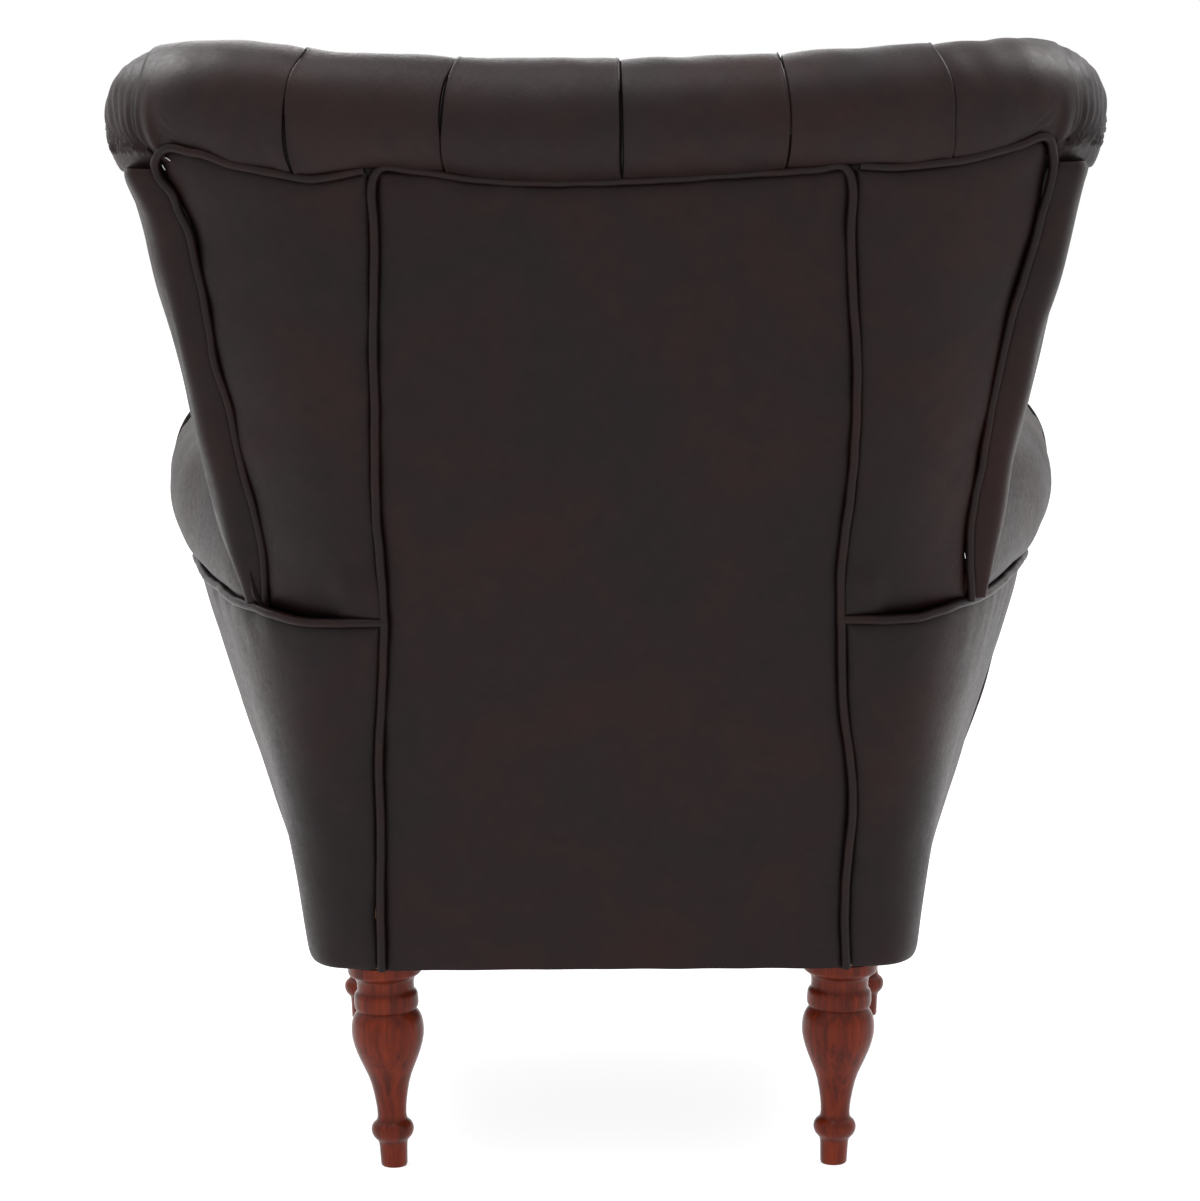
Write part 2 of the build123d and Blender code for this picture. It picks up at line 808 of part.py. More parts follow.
def dust_cover():
    """Cloth below the frame, tacked inside the leather, with holes for the leg bolts."""
    edge = plan_curve(leg_height, leather)
    middle = [(0, front_y, leg_height), (0, rear_y - leather, leg_height)]
    rest = Polyline(edge @ 1, *middle, edge @ 0)
    half = extrude(make_face(Wire([edge.edge()] + list(rest.edges()))), amount=dust_thick, dir=(0, 0, 1))
    half = (half & block(0, body_span, border_back, body_span, 0, above_all)) - bolt_bores()
    return half + mirrored(half)


def cushion_ring(z, inset):
    """Rounded outline of the cushion at height z."""
    front, rear = arm_inner_halves[0] - cushion_gap - inset, join_low_half - cushion_gap - inset
    y0 = facing_front - cushion_proud + inset
    y1 = back_y(seat_height) - back_low_depth - back_curve - cushion_gap - inset
    corner = cushion_corner - min(inset, cushion_corner / 2)
    corners = [(-front, y0, z), (front, y0, z), (rear, y1, z), (-rear, y1, z)]
    return make_face(FilletPolyline(*corners, radius=corner, close=True))


def cushion_body(skin):
    """Crowned block with drawn-in sides, skin inside the outside of the cover."""
    top = cushion_foot + cushion_thick
    rings = [
        (cushion_foot + skin, cushion_pull),
        (cushion_foot + cushion_edge, 0),
        (between(cushion_foot, top, 0.5), cushion_waist),
        (top - cushion_edge, 0),
        (top - skin, cushion_pull),
        (top + cushion_crown / 2 - skin, cushion_dome / 2),
        (top + cushion_crown - skin, cushion_dome),
    ]
    return ruled([cushion_ring(z, inset + skin) for z, inset in rings])


def placed_leg(place, lean):
    """A leg bored for its bolt, leaning in by lean degrees and cut flat on the floor."""
    x, y = place
    reach = collar_radius + overrun
    leg = Pos(0, 0, leg_height) * Rot(0, lean, 0) * Pos(0, 0, -leg_height) * turned_leg()
    leg = leg & block(-reach, reach, -reach, reach, 0, leg_height)
    return Pos(x, y, 0) * leg - bolt_bores()


def model():
    """All nodes of the chair, as a name and a shape or a list of shapes."""
    nodes = {}
    board = arm_board()
    stile = corner_stile()
    rail = arm_rail()
    post = back_post()
    upright = wing_post()
    side_rail = side_seat_rail()
    front_rail, rear_rail = front_seat_rail(), rear_seat_rail()
    top_side = wing_top_rail(post, upright)
    seam_timber = seam_rail(stile)
    blocks = corner_blocks(side_rail, front_rail, rear_rail, board)
    pad = inside_back()
    arm = arm_pad() - board - rail - stile - seam_timber - upright - flared_wall(-arm_slab, leather)
    arm = biggest(arm - upright_welt(side_half, side_sweep, back_levels) - outside_back_side())
    side_wing = biggest(wing() - pad - upright - rail - post - top_side - stile)
    pad = pad - top_side - mirrored(top_side) - stile - mirrored(stile)
    facing = arm_facing()
    long_straps, cross_straps = seat_straps()
    nodes["front_seat_rail"] = front_rail
    nodes["rear_seat_rail"] = rear_rail
    nodes["back_top_rail"] = back_top_rail()
    nodes["lumbar_rail"] = lumbar_rail()
    nodes["seat_straps_long"] = long_straps
    nodes["seat_straps_cross"] = cross_straps
    nodes["back_straps"] = back_straps()
    nodes["deck_cloth"] = deck_cloth()
    nodes["deck_pad"] = deck_pad() - pad
    nodes["front_border"] = front_border()
    nodes["dust_cover"] = dust_cover()
    nodes["inside_back"] = pad
    nodes["tuft_buttons"] = tuft_buttons()
    nodes["top_roll"] = top_roll()
    nodes["outside_back_centre"] = outside_back_centre()
    nodes["crown_welt"] = crown_welt()
    nodes["leg_bolts"] = leg_bolts()
    nodes["cushion_cover"] = cushion_body(0) - cushion_body(cushion_skin)
    nodes["cushion_core"] = cushion_body(cushion_skin)
    sides = {
        "side_seat_rail": side_rail,
        "arm_board": board,
        "corner_stile": stile,
        "arm_rail": rail,
        "back_post": post,
        "wing_post": upright,
        "wing_top_rail": top_side,
        "seam_rail": seam_timber,
        "corner_blocks": blocks,
        "leg_front": placed_leg(leg_places()[0], 0),
        "leg_rear": placed_leg(leg_places()[1], rear_leg_lean),
        "arm_pad": arm,
        "arm_facing": facing,
        "wing": side_wing,
        "outside_back_side": outside_back_side(),
        "outside_arm": flared_wall(0, leather),
        "centre_welt": upright_welt(lambda z: centre_half, 0, [leg_height, crown_top]),
        "outer_welt": upright_welt(side_half, side_sweep, back_levels),
        "seam_welt": seam_welt(),
    }
    for name, shape in sides.items():
        nodes[name + "_left"] = shape
        shapes = shape if isinstance(shape, list) else [shape]
        nodes[name + "_right"] = [mirrored(piece) for piece in shapes]
    return nodes


def main():
    os.makedirs("parts", exist_ok=True)
    nodes = model()
    boxes = []
    for name, shape in nodes.items():
        shapes = shape if isinstance(shape, list) else [shape]
        solids = [solid for piece in shapes for solid in piece.solids()]
        boxes.append(Compound(solids).bounding_box())
        nodes[name] = solids
    front = min(box.min.Y for box in boxes)
    rear = max(box.max.Y for box in boxes)
    settle = Pos(0, -(front + rear) / 2, 0)
    for name, solids in nodes.items():
        moved = [settle * solid for solid in solids]
        export_step(moved[0] if len(moved) == 1 else Compound(children=moved), f"parts/{name}.step")
    print(len(nodes), "nodes; shifted by", round(-(front + rear) / 2, 3))


main()
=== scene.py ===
import math

import bpy
import numpy as np
from mathutils import Matrix, Vector


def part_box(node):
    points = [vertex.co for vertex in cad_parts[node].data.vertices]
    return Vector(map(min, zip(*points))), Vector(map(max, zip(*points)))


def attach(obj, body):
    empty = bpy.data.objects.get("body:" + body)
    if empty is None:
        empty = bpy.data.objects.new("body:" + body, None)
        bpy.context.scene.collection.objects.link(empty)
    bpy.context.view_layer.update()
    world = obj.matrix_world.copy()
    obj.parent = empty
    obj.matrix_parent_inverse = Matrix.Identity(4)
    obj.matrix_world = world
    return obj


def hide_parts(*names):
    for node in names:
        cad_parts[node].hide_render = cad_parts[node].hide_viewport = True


# Leather bergere armchair. Left pieces are on +X, the sitter's left. Metres throughout.
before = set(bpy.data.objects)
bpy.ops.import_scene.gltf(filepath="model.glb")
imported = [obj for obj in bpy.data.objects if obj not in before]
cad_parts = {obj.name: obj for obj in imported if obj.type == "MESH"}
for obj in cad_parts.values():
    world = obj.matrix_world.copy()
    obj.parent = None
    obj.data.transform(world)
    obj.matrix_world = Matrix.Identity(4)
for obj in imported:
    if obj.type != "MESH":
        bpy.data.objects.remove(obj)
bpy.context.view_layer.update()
print("frame loaded")

# Main lines of the body, shared by the soft pieces
body = {
    "rearLine": 0.2221,  # rearmost line of the seat frame, on Y
    "legTop": 0.189,
    "leanDegrees": 11.0,
    "armSeam": 0.518,
    "crownMiddle": 0.890,
    "front": -0.3549,
    "sweep": 0.055,  # how far the side panels curve forward
    "armLift": 0.004,  # the arm pads start this far above their seam
}
sides = ((1, "left"), (-1, "right"))  # sign on X and name


def backY(z):
    return body["rearLine"] + (z - body["legTop"]) * math.tan(math.radians(body["leanDegrees"]))


def tableAt(table, where):
    # smooth line through a short table of (place, value) rows
    rows = np.array(sorted(table), float)
    places, values = rows[:, 0], rows[:, 1]
    count = len(places)
    gaps, slopes = np.diff(places), np.diff(values) / np.diff(places)
    system, right = np.eye(count), np.zeros(count)
    for i in range(1, count - 1):
        system[i, i - 1:i + 2] = gaps[i - 1], 2 * (gaps[i - 1] + gaps[i]), gaps[i]
        right[i] = 6 * (slopes[i] - slopes[i - 1])
    bends = np.linalg.solve(system, right)
    where = np.clip(np.asarray(where, float), places[0], places[-1])
    seg = np.clip(np.searchsorted(places, where) - 1, 0, count - 2)
    t, h = where - places[seg], gaps[seg]
    first = slopes[seg] - h * (2 * bends[seg] + bends[seg + 1]) / 6
    return values[seg] + first * t + bends[seg] / 2 * t**2 + (bends[seg + 1] - bends[seg]) / (6 * h) * t**3


def smoothLine(points, count, spacing=None):
    # even points on a smooth line through the given ones, or at the given shares of its length
    points = np.array(points, float)
    chords = np.concatenate([[0], np.cumsum(np.linalg.norm(np.diff(points, axis=0), axis=1))])
    dense = np.linspace(0, chords[-1], 60 * len(points))
    line = np.stack([tableAt(list(zip(chords, points[:, k])), dense) for k in range(points.shape[1])], 1)
    lengths = np.concatenate([[0], np.cumsum(np.linalg.norm(np.diff(line, axis=0), axis=1))])
    shares = np.linspace(0, 1, count) if spacing is None else np.asarray(spacing)
    return np.stack([np.interp(shares * lengths[-1], lengths, line[:, k]) for k in range(points.shape[1])], 1)


def waves(points, wavelength, seed, directions=7):
    # gentle unevenness between -1 and 1, the same on every run
    made = np.random.default_rng(seed)
    total = np.zeros(points.shape[:-1])
    for _ in range(directions):
        way = made.normal(size=3)
        way *= (0.7 + 0.6 * made.random()) / np.linalg.norm(way)
        total += np.sin(points @ way * (2 * math.pi / wavelength) + made.random() * 2 * math.pi)
    return total / directions**0.5 / 1.4


def crowded(count, power=1.7):
    # shares from 0 to 1 that stand closer together at both ends
    t = np.linspace(-1, 1, count)
    return 0.5 + 0.5 * np.sign(t) * (1 - (1 - np.abs(t)) ** power)


def deselect():
    if bpy.context.object and bpy.context.object.mode != "OBJECT":
        bpy.ops.object.mode_set(mode="OBJECT")
    bpy.ops.object.select_all(action="DESELECT")


def onlyActive(piece):
    deselect()
    piece.select_set(True)
    bpy.context.view_layer.objects.active = piece


def outward(points, way):
    # unit normals of a grid of points, on the side that way shows
    normal = np.cross(np.gradient(points, axis=1), np.gradient(points, axis=0))
    normal = normal / np.maximum(np.linalg.norm(normal, axis=2, keepdims=True), 1e-12)
    return -normal if (normal * way).sum() < 0 else normal


def paintTuckShade(piece, shade):
    # painted shade for the materials: how deep each point lies in a tuck or groove, darkened as if shade fell
    # there
    layer = piece.data.attributes.new("tuckAndShade", "FLOAT", "POINT")
    layer.data.foreach_set("value", np.asarray(shade, np.float32).reshape(-1))


def gridPiece(name, points, tuckAndShade=None):
    # a plane grid whose points are set one by one, as sculpting does
    rows, columns = points.shape[:2]
    deselect()
    bpy.ops.mesh.primitive_grid_add(x_subdivisions=columns - 1, y_subdivisions=rows - 1, size=1)
    piece = bpy.context.object
    piece.name = piece.data.name = name
    assert len(piece.data.vertices) == rows * columns, name
    piece.data.vertices.foreach_set("co", points.reshape(-1).astype(np.float32))
    paintTuckShade(piece, np.zeros(rows * columns) if tuckAndShade is None else tuckAndShade)
    piece.data.update()
    return piece


def modify(piece, kind, **settings):
    onlyActive(piece)
    made = piece.modifiers.new(kind.title(), kind)
    for key, value in settings.items():
        setattr(made, key, value)
    bpy.ops.object.modifier_apply(modifier=made.name)


def faceOutwards(piece, inside):
    # turns an open sheet's faces away from a point inside the chair
    onlyActive(piece)
    total = sum(f.normal.dot(f.center - Vector(inside)) * f.area for f in piece.data.polygons)
    if total < 0:
        bpy.ops.object.mode_set(mode="EDIT")
        bpy.ops.mesh.select_all(action="SELECT")
        bpy.ops.mesh.flip_normals()
        bpy.ops.object.mode_set(mode="OBJECT")


def smooth(piece, degrees=None):
    onlyActive(piece)
    if degrees is None:
        bpy.ops.object.shade_smooth()
    else:
        bpy.ops.object.shade_smooth_by_angle(angle=math.radians(degrees))


def leatherSheet(name, points, tuckAndShade, inside, skin, degrees):
    # a sheet whose faces point away from a place inside the chair, with its thickness inwards
    piece = gridPiece(name, points, tuckAndShade)
    faceOutwards(piece, inside)
    modify(piece, "SOLIDIFY", thickness=skin, offset=-1)
    smooth(piece, degrees)
    return piece


def meshArrays(piece):
    # places and normals of all points
    count = len(piece.data.vertices)
    co, normal = np.zeros(count * 3, np.float32), np.zeros(count * 3, np.float32)
    piece.data.vertices.foreach_get("co", co)
    piece.data.vertices.foreach_get("normal", normal)
    return co.reshape(-1, 3).astype(float), normal.reshape(-1, 3).astype(float)


def setPoints(piece, co):
    piece.data.vertices.foreach_set("co", co.reshape(-1).astype(np.float32))
    piece.data.update()


def joined(parts, name):
    onlyActive(parts[0])
    for part in parts:
        part.select_set(True)
    bpy.ops.object.join()
    piece = bpy.context.object
    piece.name = piece.data.name = name
    return piece


def ownCopy(source, name):
    # a copy with its own mesh, free of the frame's marks
    piece = source.copy()
    piece.data = source.data.copy()
    bpy.context.scene.collection.objects.link(piece)
    for key in [k for k in piece.keys() if k.startswith("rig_")]:
        del piece[key]
    piece.parent = None
    piece.matrix_world = Matrix.Identity(4)
    piece.name = piece.data.name = name
    piece.hide_render = piece.hide_viewport = False
    return piece


def mergedCopy(node, name, cuts=0):
    # a CAD node's loose triangles joined up, and divided finely where cuts are asked for
    piece = ownCopy(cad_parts[node], name)
    onlyActive(piece)
    bpy.ops.object.mode_set(mode="EDIT")
    bpy.ops.mesh.select_all(action="SELECT")
    bpy.ops.mesh.remove_doubles(threshold=0.00002)
    if cuts:
        bpy.ops.mesh.tris_convert_to_quads()
        bpy.ops.mesh.subdivide(number_cuts=cuts)
    bpy.ops.object.mode_set(mode="OBJECT")
    return piece


def finishPiece(piece, finish, replaced=(), rides="chair"):
    # material, body, and what the piece stands for in the frame
    piece.data.materials.clear()
    piece.data.materials.append(finish)
    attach(piece, rides)
    if replaced:
        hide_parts(*replaced)
    return piece


# Materials
def colour(code, alpha=1.0):
    parts = [int(code[i:i + 2], 16) / 255 for i in (1, 3, 5)]
    return [p / 12.92 if p <= 0.04045 else ((p + 0.055) / 1.055) ** 2.4 for p in parts] + [alpha]


def addNode(tree, kind, settings=None, links=None):
    # one node with its settings, and values or sockets for its inputs
    node = tree.nodes.new(kind)
    for key, value in (settings or {}).items():
        setattr(node, key, value)
    for key, value in (links or {}).items():
        if isinstance(value, bpy.types.NodeSocket):
            tree.links.new(value, node.inputs[key])
        else:
            node.inputs[key].default_value = value
    return node


def newMaterial(name):
    material = bpy.data.materials.new(name)
    material.use_nodes = True
    material.node_tree.nodes.clear()
    return material, material.node_tree


def rampStops(node, stops):
    ramp = node.color_ramp
    while len(ramp.elements) < len(stops):
        ramp.elements.new(0.5)
    for element, (place, shade) in zip(ramp.elements, stops):
        element.position, element.color = place, shade
    return node


# Antique-rubbed cowhide: nearly black espresso with a red-brown that shows through, satin topcoat
leatherLook = {
    # grooveShade is the colour of the painted shade in tucks, pleats and beside welts
    "dark": "#170d0e", "brown": "#220d0b", "grooveShade": "#040202", "worn": "#2c2223",
    "patchMm": 150.0, "grainMm": 1.5, "creaseMm": 9.0, "roughness": 0.46, "ior": 1.26,
}


def leatherMaterial(name, look):
    material, tree = newMaterial(name)
    place = addNode(tree, "ShaderNodeTexCoord").outputs["Object"]
    patch = addNode(tree, "ShaderNodeTexNoise", None, {
        "Vector": place, "Scale": 1000 / look["patchMm"], "Detail": 4.0, "Roughness": 0.6, "Distortion": 0.4})
    patchShare = rampStops(addNode(tree, "ShaderNodeValToRGB", None, {"Fac": patch.outputs["Fac"]}), [
        (0.38, (0, 0, 0, 1)), (0.72, (1, 1, 1, 1))])
    rubbed = addNode(tree, "ShaderNodeMix", {"data_type": "RGBA"}, {
        "Factor": patchShare.outputs["Color"], "A": colour(look["dark"]), "B": colour(look["brown"])})
    speck = addNode(tree, "ShaderNodeTexNoise", None, {
        "Vector": place, "Scale": 1000 / (look["patchMm"] / 9), "Detail": 3.0, "Roughness": 0.6})
    speckShare = addNode(tree, "ShaderNodeMapRange", None, {
        "Value": speck.outputs["Fac"], "From Min": 0.35, "From Max": 0.75, "To Min": 0.88, "To Max": 1.14})
    spread = addNode(tree, "ShaderNodeVectorMath", {"operation": "SCALE"}, {
        "Vector": rubbed.outputs["Result"], "Scale": speckShare.outputs["Result"]})
    # painted shade: the tuckAndShade attribute darkens the leather towards grooveShade
    tuckAndShade = addNode(tree, "ShaderNodeAttribute", {"attribute_name": "tuckAndShade"}).outputs["Fac"]
    low = addNode(tree, "ShaderNodeMapRange", None, {"Value": tuckAndShade, "From Min": 0.0, "From Max": 1.0})
    high = addNode(tree, "ShaderNodeMapRange", None, {
        "Value": tuckAndShade, "From Min": 0.0, "From Max": -1.0, "To Max": 0.55})
    grooveShaded = addNode(tree, "ShaderNodeMix", {"data_type": "RGBA"}, {
        "Factor": low.outputs["Result"], "A": spread.outputs["Vector"], "B": colour(look["grooveShade"])})
    worn = addNode(tree, "ShaderNodeMix", {"data_type": "RGBA"}, {
        "Factor": high.outputs["Result"], "A": grooveShaded.outputs["Result"], "B": colour(look["worn"])})
    grain = addNode(tree, "ShaderNodeTexVoronoi", {"feature": "DISTANCE_TO_EDGE"}, {
        "Vector": place, "Scale": 1000 / look["grainMm"], "Randomness": 1.0})
    pebble = addNode(tree, "ShaderNodeMapRange", {"interpolation_type": "SMOOTHSTEP"}, {
        "Value": grain.outputs["Distance"], "From Max": 0.22})
    crease = addNode(tree, "ShaderNodeTexNoise", None, {
        "Vector": place, "Scale": 1000 / look["creaseMm"],
        "Detail": 5.0, "Roughness": 0.62, "Distortion": 1.2})
    fine = addNode(tree, "ShaderNodeBump", None, {
        "Height": pebble.outputs["Result"], "Strength": 0.16, "Distance": 0.0004})
    bump = addNode(tree, "ShaderNodeBump", None, {
        "Height": crease.outputs["Fac"], "Strength": 0.16, "Distance": 0.0009,
        "Normal": fine.outputs["Normal"]})
    rough = addNode(tree, "ShaderNodeMapRange", None, {
        "Value": crease.outputs["Fac"], "From Min": 0.3, "From Max": 0.7,
        "To Min": look["roughness"] - 0.05, "To Max": look["roughness"] + 0.07})
    shader = addNode(tree, "ShaderNodeBsdfPrincipled", None, {
        "Base Color": worn.outputs["Result"], "Roughness": rough.outputs["Result"],
        "Normal": bump.outputs["Normal"], "IOR": look["ior"]})
    addNode(tree, "ShaderNodeOutputMaterial", None, {"Surface": shader.outputs["BSDF"]})
    return material


# Turned beech, stained red-brown and varnished to a gloss: grain runs up the leg under a clear coat
woodLook = {
    "light": "#6e2409", "dark": "#5c1b06", "shade": "#441305",
    "grainMm": 1.4, "stretch": 0.07, "roughness": 0.42, "ior": 1.22, "coatRoughness": 0.1,
}


def woodMaterial(name, look, coat):
    material, tree = newMaterial(name)
    place = addNode(tree, "ShaderNodeTexCoord").outputs["Object"]
    along = addNode(tree, "ShaderNodeMapping", None, {"Vector": place, "Scale": (1.0, 1.0, look["stretch"])})
    streak = addNode(tree, "ShaderNodeTexNoise", None, {
        "Vector": along.outputs["Vector"], "Scale": 1000 / look["grainMm"] / 6,
        "Detail": 6.0, "Roughness": 0.6, "Distortion": 0.6})
    pore = addNode(tree, "ShaderNodeTexNoise", None, {
        "Vector": along.outputs["Vector"], "Scale": 1000 / look["grainMm"], "Detail": 3.0, "Roughness": 0.7})
    grainTone = rampStops(addNode(tree, "ShaderNodeValToRGB", None, {"Fac": streak.outputs["Fac"]}), [
        (0.34, colour(look["shade"])), (0.5, colour(look["dark"])), (0.68, colour(look["light"]))])
    poreShare = addNode(tree, "ShaderNodeMapRange", None, {
        "Value": pore.outputs["Fac"], "From Min": 0.3, "From Max": 0.7, "To Min": 0.8, "To Max": 1.15})
    tone = addNode(tree, "ShaderNodeVectorMath", {"operation": "SCALE"}, {
        "Vector": grainTone.outputs["Color"], "Scale": poreShare.outputs["Result"]})
    # painted shade: the tuckAndShade attribute darkens the turned rings towards the shade colour
    tuckAndShade = addNode(tree, "ShaderNodeAttribute", {"attribute_name": "tuckAndShade"}).outputs["Fac"]
    ringShaded = addNode(tree, "ShaderNodeMix", {"data_type": "RGBA"}, {
        "Factor": tuckAndShade, "A": tone.outputs["Vector"], "B": colour(look["shade"])})
    bump = addNode(tree, "ShaderNodeBump", None, {
        "Height": pore.outputs["Fac"], "Strength": 0.06, "Distance": 0.0003})
    shader = addNode(tree, "ShaderNodeBsdfPrincipled", None, {
        "Base Color": ringShaded.outputs["Result"], "Roughness": look["roughness"], "IOR": look["ior"],
        "Normal": bump.outputs["Normal"],
        "Coat Weight": coat, "Coat IOR": look["ior"], "Coat Roughness": look["coatRoughness"]})
    addNode(tree, "ShaderNodeOutputMaterial", None, {"Surface": shader.outputs["BSDF"]})
    return material


# Woven cloths: thread rows both ways, matt
def clothMaterial(name, pale, deep, threadMm, sheen=0.2):
    material, tree = newMaterial(name)
    place = addNode(tree, "ShaderNodeTexCoord").outputs["Object"]
    warp = addNode(tree, "ShaderNodeTexWave", {"bands_direction": "X"}, {
        "Vector": place, "Scale": 1000 / threadMm / 6.28, "Distortion": 0.4, "Detail": 1.0})
    weft = addNode(tree, "ShaderNodeTexWave", {"bands_direction": "Y"}, {
        "Vector": place, "Scale": 1000 / threadMm / 6.28, "Distortion": 0.4, "Detail": 1.0})
    weave = addNode(tree, "ShaderNodeMath", {"operation": "MULTIPLY"}, {
        0: warp.outputs["Fac"], 1: weft.outputs["Fac"]})
    dust = addNode(tree, "ShaderNodeTexNoise", None, {"Vector": place, "Scale": 14.0, "Detail": 4.0})
    share = addNode(tree, "ShaderNodeMath", {"operation": "MULTIPLY_ADD"}, {
        0: dust.outputs["Fac"], 1: 0.5, 2: weave.outputs["Value"]})
    tone = addNode(tree, "ShaderNodeMix", {"data_type": "RGBA"}, {
        "Factor": share.outputs["Value"], "A": colour(deep), "B": colour(pale)})
    bump = addNode(tree, "ShaderNodeBump", None, {
        "Height": weave.outputs["Value"], "Strength": 0.35, "Distance": 0.0006})
    shader = addNode(tree, "ShaderNodeBsdfPrincipled", None, {
        "Base Color": tone.outputs["Result"], "Roughness": 0.9, "Sheen Weight": sheen,
        "Normal": bump.outputs["Normal"]})
    addNode(tree, "ShaderNodeOutputMaterial", None, {"Surface": shader.outputs["BSDF"]})
    return material


# Bright zinc-plated steel, drawn wire and bolts
def steelMaterial(name):
    material, tree = newMaterial(name)
    place = addNode(tree, "ShaderNodeTexCoord").outputs["Object"]
    mark = addNode(tree, "ShaderNodeTexNoise", None, {"Vector": place, "Scale": 240.0, "Detail": 3.0})
    rough = addNode(tree, "ShaderNodeMapRange", None, {
        "Value": mark.outputs["Fac"], "To Min": 0.2, "To Max": 0.4})
    tone = addNode(tree, "ShaderNodeMix", {"data_type": "RGBA"}, {
        "Factor": mark.outputs["Fac"], "A": colour("#a9adb0"), "B": colour("#d6d8d9")})
    shader = addNode(tree, "ShaderNodeBsdfPrincipled", None, {
        "Base Color": tone.outputs["Result"], "Metallic": 1.0, "Roughness": rough.outputs["Result"]})
    addNode(tree, "ShaderNodeOutputMaterial", None, {"Surface": shader.outputs["BSDF"]})
    return material


# Cut polyurethane foam: open cells, matt
def foamMaterial(name):
    material, tree = newMaterial(name)
    place = addNode(tree, "ShaderNodeTexCoord").outputs["Object"]
    cells = addNode(tree, "ShaderNodeTexVoronoi", None, {"Vector": place, "Scale": 420.0})
    tone = addNode(tree, "ShaderNodeMix", {"data_type": "RGBA"}, {
        "Factor": cells.outputs["Distance"], "A": colour("#c9b178"), "B": colour("#efe2b8")})
    bump = addNode(tree, "ShaderNodeBump", None, {
        "Height": cells.outputs["Distance"], "Strength": 0.4, "Distance": 0.001})
    shader = addNode(tree, "ShaderNodeBsdfPrincipled", None, {
        "Base Color": tone.outputs["Result"], "Roughness": 0.95, "Normal": bump.outputs["Normal"]})
    addNode(tree, "ShaderNodeOutputMaterial", None, {"Surface": shader.outputs["BSDF"]})
    return material


espresso = leatherMaterial("espressoAntiqueLeather", leatherLook)
# a lighter copy of the leather for the top roll: painted light falling on it from above
espressoRollLit = leatherMaterial("espressoRollLitLeather", leatherLook | {"dark": "#1b1314", "brown": "#251110"})
espressoTrim = leatherMaterial("espressoWeltLeather", leatherLook | {
    "dark": "#160c0d", "brown": "#200c0a", "patchMm": 40.0, "creaseMm": 5.0, "roughness": 0.4})
varnished = woodMaterial("varnishedTurnedBeech", woodLook, 0.45)
rawBeech = woodMaterial("rawBeechFrame", woodLook | {
    "light": "#c9a171", "dark": "#b88c5c", "shade": "#94683c", "roughness": 0.7, "ior": 1.45}, 0.0)
cambric = clothMaterial("blackCambric", "#232326", "#101012", 0.9)
hessian = clothMaterial("juteHessian", "#a98d61", "#6f5836", 1.6)
juteWebbing = clothMaterial("juteWebbing", "#9c8157", "#4f3a24", 2.4)
foam = foamMaterial("polyurethaneFoam")
steel = steelMaterial("zincSteel")
print("materials made")

# Camera, floor and lights
photoView = {
    "place": (-0.0093, 3.1198, 0.9395), "pitchDown": 8.222, "turn": 0.349, "roll": 0.45, "lens": 100.35,
    "floorHalf": 12.0, "floorShade": "#a8a8a8", "floorGlow": 0.80, "glowShade": "#ffffff",
    "worldShade": "#ffffff", "worldStrength": 1.0,
    # name, place, what it points at, size and power in watts
    "lights": [("overheadSoftbox", (0.3, 0.5, 2.9), (0, 0.1, 0.5), (1.6, 1.2), 22),
               ("leftSoftbox", (2.1, -1.5, 2.9), (0, 0, 0.6), (1.0, 1.0), 44),
               ("rightSoftbox", (-2.1, -1.5, 2.9), (0, 0, 0.6), (1.0, 1.0), 42),
               ("frontSoftbox", (0.4, -3.2, 2.2), (0, 0, 0.5), (1.8, 1.4), 30)],
}


def makeCamera(view):
    lens = bpy.data.cameras.new("photoCamera")
    lens.lens, lens.sensor_width, lens.clip_end = view["lens"], 36.0, 60.0
    camera = bpy.data.objects.new("photoCamera", lens)
    bpy.context.scene.collection.objects.link(camera)
    pitch, turned = math.radians(view["pitchDown"]), math.radians(view["turn"])
    level = Vector((math.sin(turned), -math.cos(turned), 0))
    ahead = level * math.cos(pitch) - Vector((0, 0, math.sin(pitch)))
    aside = ahead.cross(Vector((0, 0, 1))).normalized()
    above = aside.cross(ahead)
    aimed = Matrix((aside, above, -ahead)).transposed().to_4x4()
    rolled = Matrix.Rotation(math.radians(-view["roll"]), 4, "Z")
    camera.matrix_world = Matrix.Translation(view["place"]) @ (aimed @ rolled)
    bpy.context.scene.camera = camera


def makeFloor(view):
    deselect()
    bpy.ops.mesh.primitive_plane_add(size=2 * view["floorHalf"])
    floor = bpy.context.object
    floor.name = "studioFloor"
    material, tree = newMaterial("paleStudioPaper")
    shader = addNode(tree, "ShaderNodeBsdfPrincipled", None, {
        "Base Color": colour(view["floorShade"]), "Roughness": 0.9,
        "Emission Color": colour(view["glowShade"]), "Emission Strength": view["floorGlow"]})
    addNode(tree, "ShaderNodeOutputMaterial", None, {"Surface": shader.outputs["BSDF"]})
    floor.data.materials.append(material)


def makeLight(name, place, target, size, power):
    lamp = bpy.data.lights.new(name, "AREA")
    lamp.shape, lamp.size, lamp.size_y, lamp.energy = "RECTANGLE", size[0], size[1], power
    holder = bpy.data.objects.new(name, lamp)
    bpy.context.scene.collection.objects.link(holder)
    holder.location = place
    holder.rotation_euler = (Vector(target) - Vector(place)).to_track_quat("-Z", "Y").to_euler()


def makeWorld(view):
    world = bpy.context.scene.world or bpy.data.worlds.new("studio")
    bpy.context.scene.world = world
    world.use_nodes = True
    world.node_tree.nodes.clear()
    sky = addNode(world.node_tree, "ShaderNodeBackground", None, {
        "Color": colour(view["worldShade"]), "Strength": view["worldStrength"]})
    addNode(world.node_tree, "ShaderNodeOutputWorld", None, {"Surface": sky.outputs["Background"]})


bpy.context.scene.view_settings.view_transform = "Standard"
makeCamera(photoView)
makeFloor(photoView)
makeWorld(photoView)
for light in photoView["lights"]:
    makeLight(*light)
print("camera, floor and lights placed")

